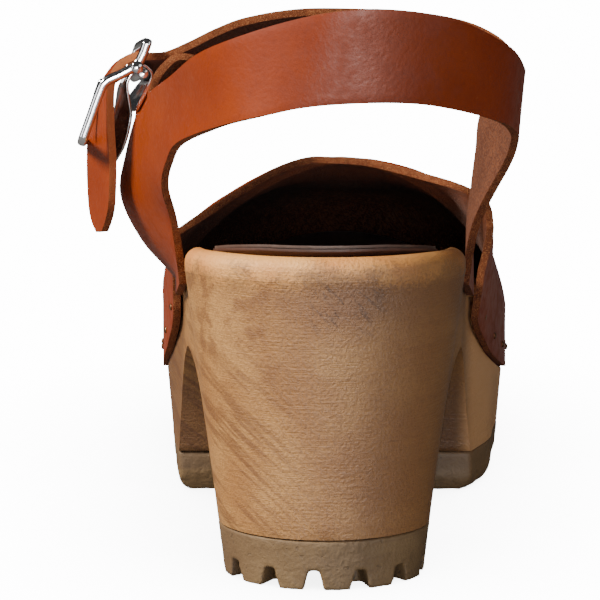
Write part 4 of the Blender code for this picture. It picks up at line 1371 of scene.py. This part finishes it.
# %% Clasp hook
HOOK_WIDTH = 12.0
HOOK_THICKNESS = 0.8
HOOK_PROFILE = table(
    "out z turn width",
    (1.6, 107.5, 16, 0.7),
    (0.4, 110.5, 15, 1.0),
    (-1.6, 113.8, 10, 1.0),
    (-3.2, 117.1, 3, 1.0),
    (-0.9, 119.4, 0, 1.0),
    (1.3, 117.5, 0, 1.0),
    (3.2, 114.5, 4, 1.0),
    (3.4, 110.5, 10, 1.0),
    (3.5, 106.7, 16, 1.0),
    (4.4, 102.7, 19, 1.0),
    (5.5, 98.2, 20, 0.85),
    (6.3, 94.4, 20, 0.3),
)
points = []
hook_path = through(columns(HOOK_PROFILE), 8)
hook_shares = np.linspace(-0.5, 0.5, 9)
for out, z, turn, width in hook_path:
    for across in HOOK_WIDTH * width * hook_shares:
        middle = FRAME_WIDTH / 2 + across * math.cos(math.radians(turn))
        points.append(buckle_point(middle, out + across * math.sin(math.radians(turn)), z))
hook = piece("hook_plate", points, grid_faces(len(hook_path), len(hook_shares)), [chrome_finish])
plate = hook.modifiers.new("Thickness", "SOLIDIFY")
plate.thickness = HOOK_THICKNESS * MM
plate.offset = 0
soften(hook, 0.25)
stands_for(settle(hook), "chrome", "clasp_hook")

# %% [markdown]
# Small nails hold the vamp to the wood, in one row a little above its lower edge. Each is a low dome on a
# short neck. They are made in a loop and joined to one mesh, because they are many and all alike.

# %% Nails
NAIL_PITCH = 15.0
NAIL_RISE = 5.5
NAIL_PROFILE = table("radius out", (0.75, -0.4), (0.92, 0.1), (0.8, 0.32), (0.48, 0.48), (0.05, 0.54))
NAIL_SIDES = 14
FIRST_NAIL_STATION = 104
LAST_NAIL_STATION = 105

nail_finish, tree, shader, spot = finish("dull_nail", Metallic=1.0)
blotch = place(tree, "handling_blotches", Vector=spot, Scale=500.0)["Mask"]
tone = mix(tree, blotch, linear(150, 116, 88), linear(108, 74, 52))
dress(tree, shader, Base_Color=tone, Roughness=scaled(tree, blotch, 0.25, 0.28))


def nail_line():
    """Points at an even pitch along the vamp's nailed edge, with the way out of the leather."""
    run = [(OUTER, station) for station in np.arange(FIRST_NAIL_STATION, SOLE_LENGTH, 1.0)]
    run += [(INNER, station) for station in np.arange(SOLE_LENGTH, LAST_NAIL_STATION, -1.0)]
    spots = []
    travelled = NAIL_PITCH
    last = None
    for side, station in run:
        z = seat_end(side, station) + NAIL_RISE
        point = seat(side, station, z, SEAT_CLEARANCE + LEATHER)
        travelled += 0 if last is None else np.linalg.norm(point - last)
        last = point
        if travelled >= NAIL_PITCH:
            spots.append((point, outward(side, station)))
            travelled = 0
    return spots


nail_spots = nail_line()
up = np.array([0.0, 0.0, 1.0])
points = []
faces = []
for point, out in nail_spots:
    across = np.array([-out[1], out[0], 0.0])
    start = len(points)
    for radius, lift in columns(NAIL_PROFILE):
        for angle in np.arange(NAIL_SIDES) * 2 * math.pi / NAIL_SIDES:
            points.append(point + out * lift + radius * (math.cos(angle) * across + math.sin(angle) * up))
    faces += grid_faces(len(NAIL_PROFILE["out"]), NAIL_SIDES, start, closed=True)
    faces.append(tuple(range(start, start + NAIL_SIDES)))
nails = piece("vamp_nails", points, faces, [nail_finish])
stands_for(settle(nails), "chrome")
print("nails:", len(nail_spots))
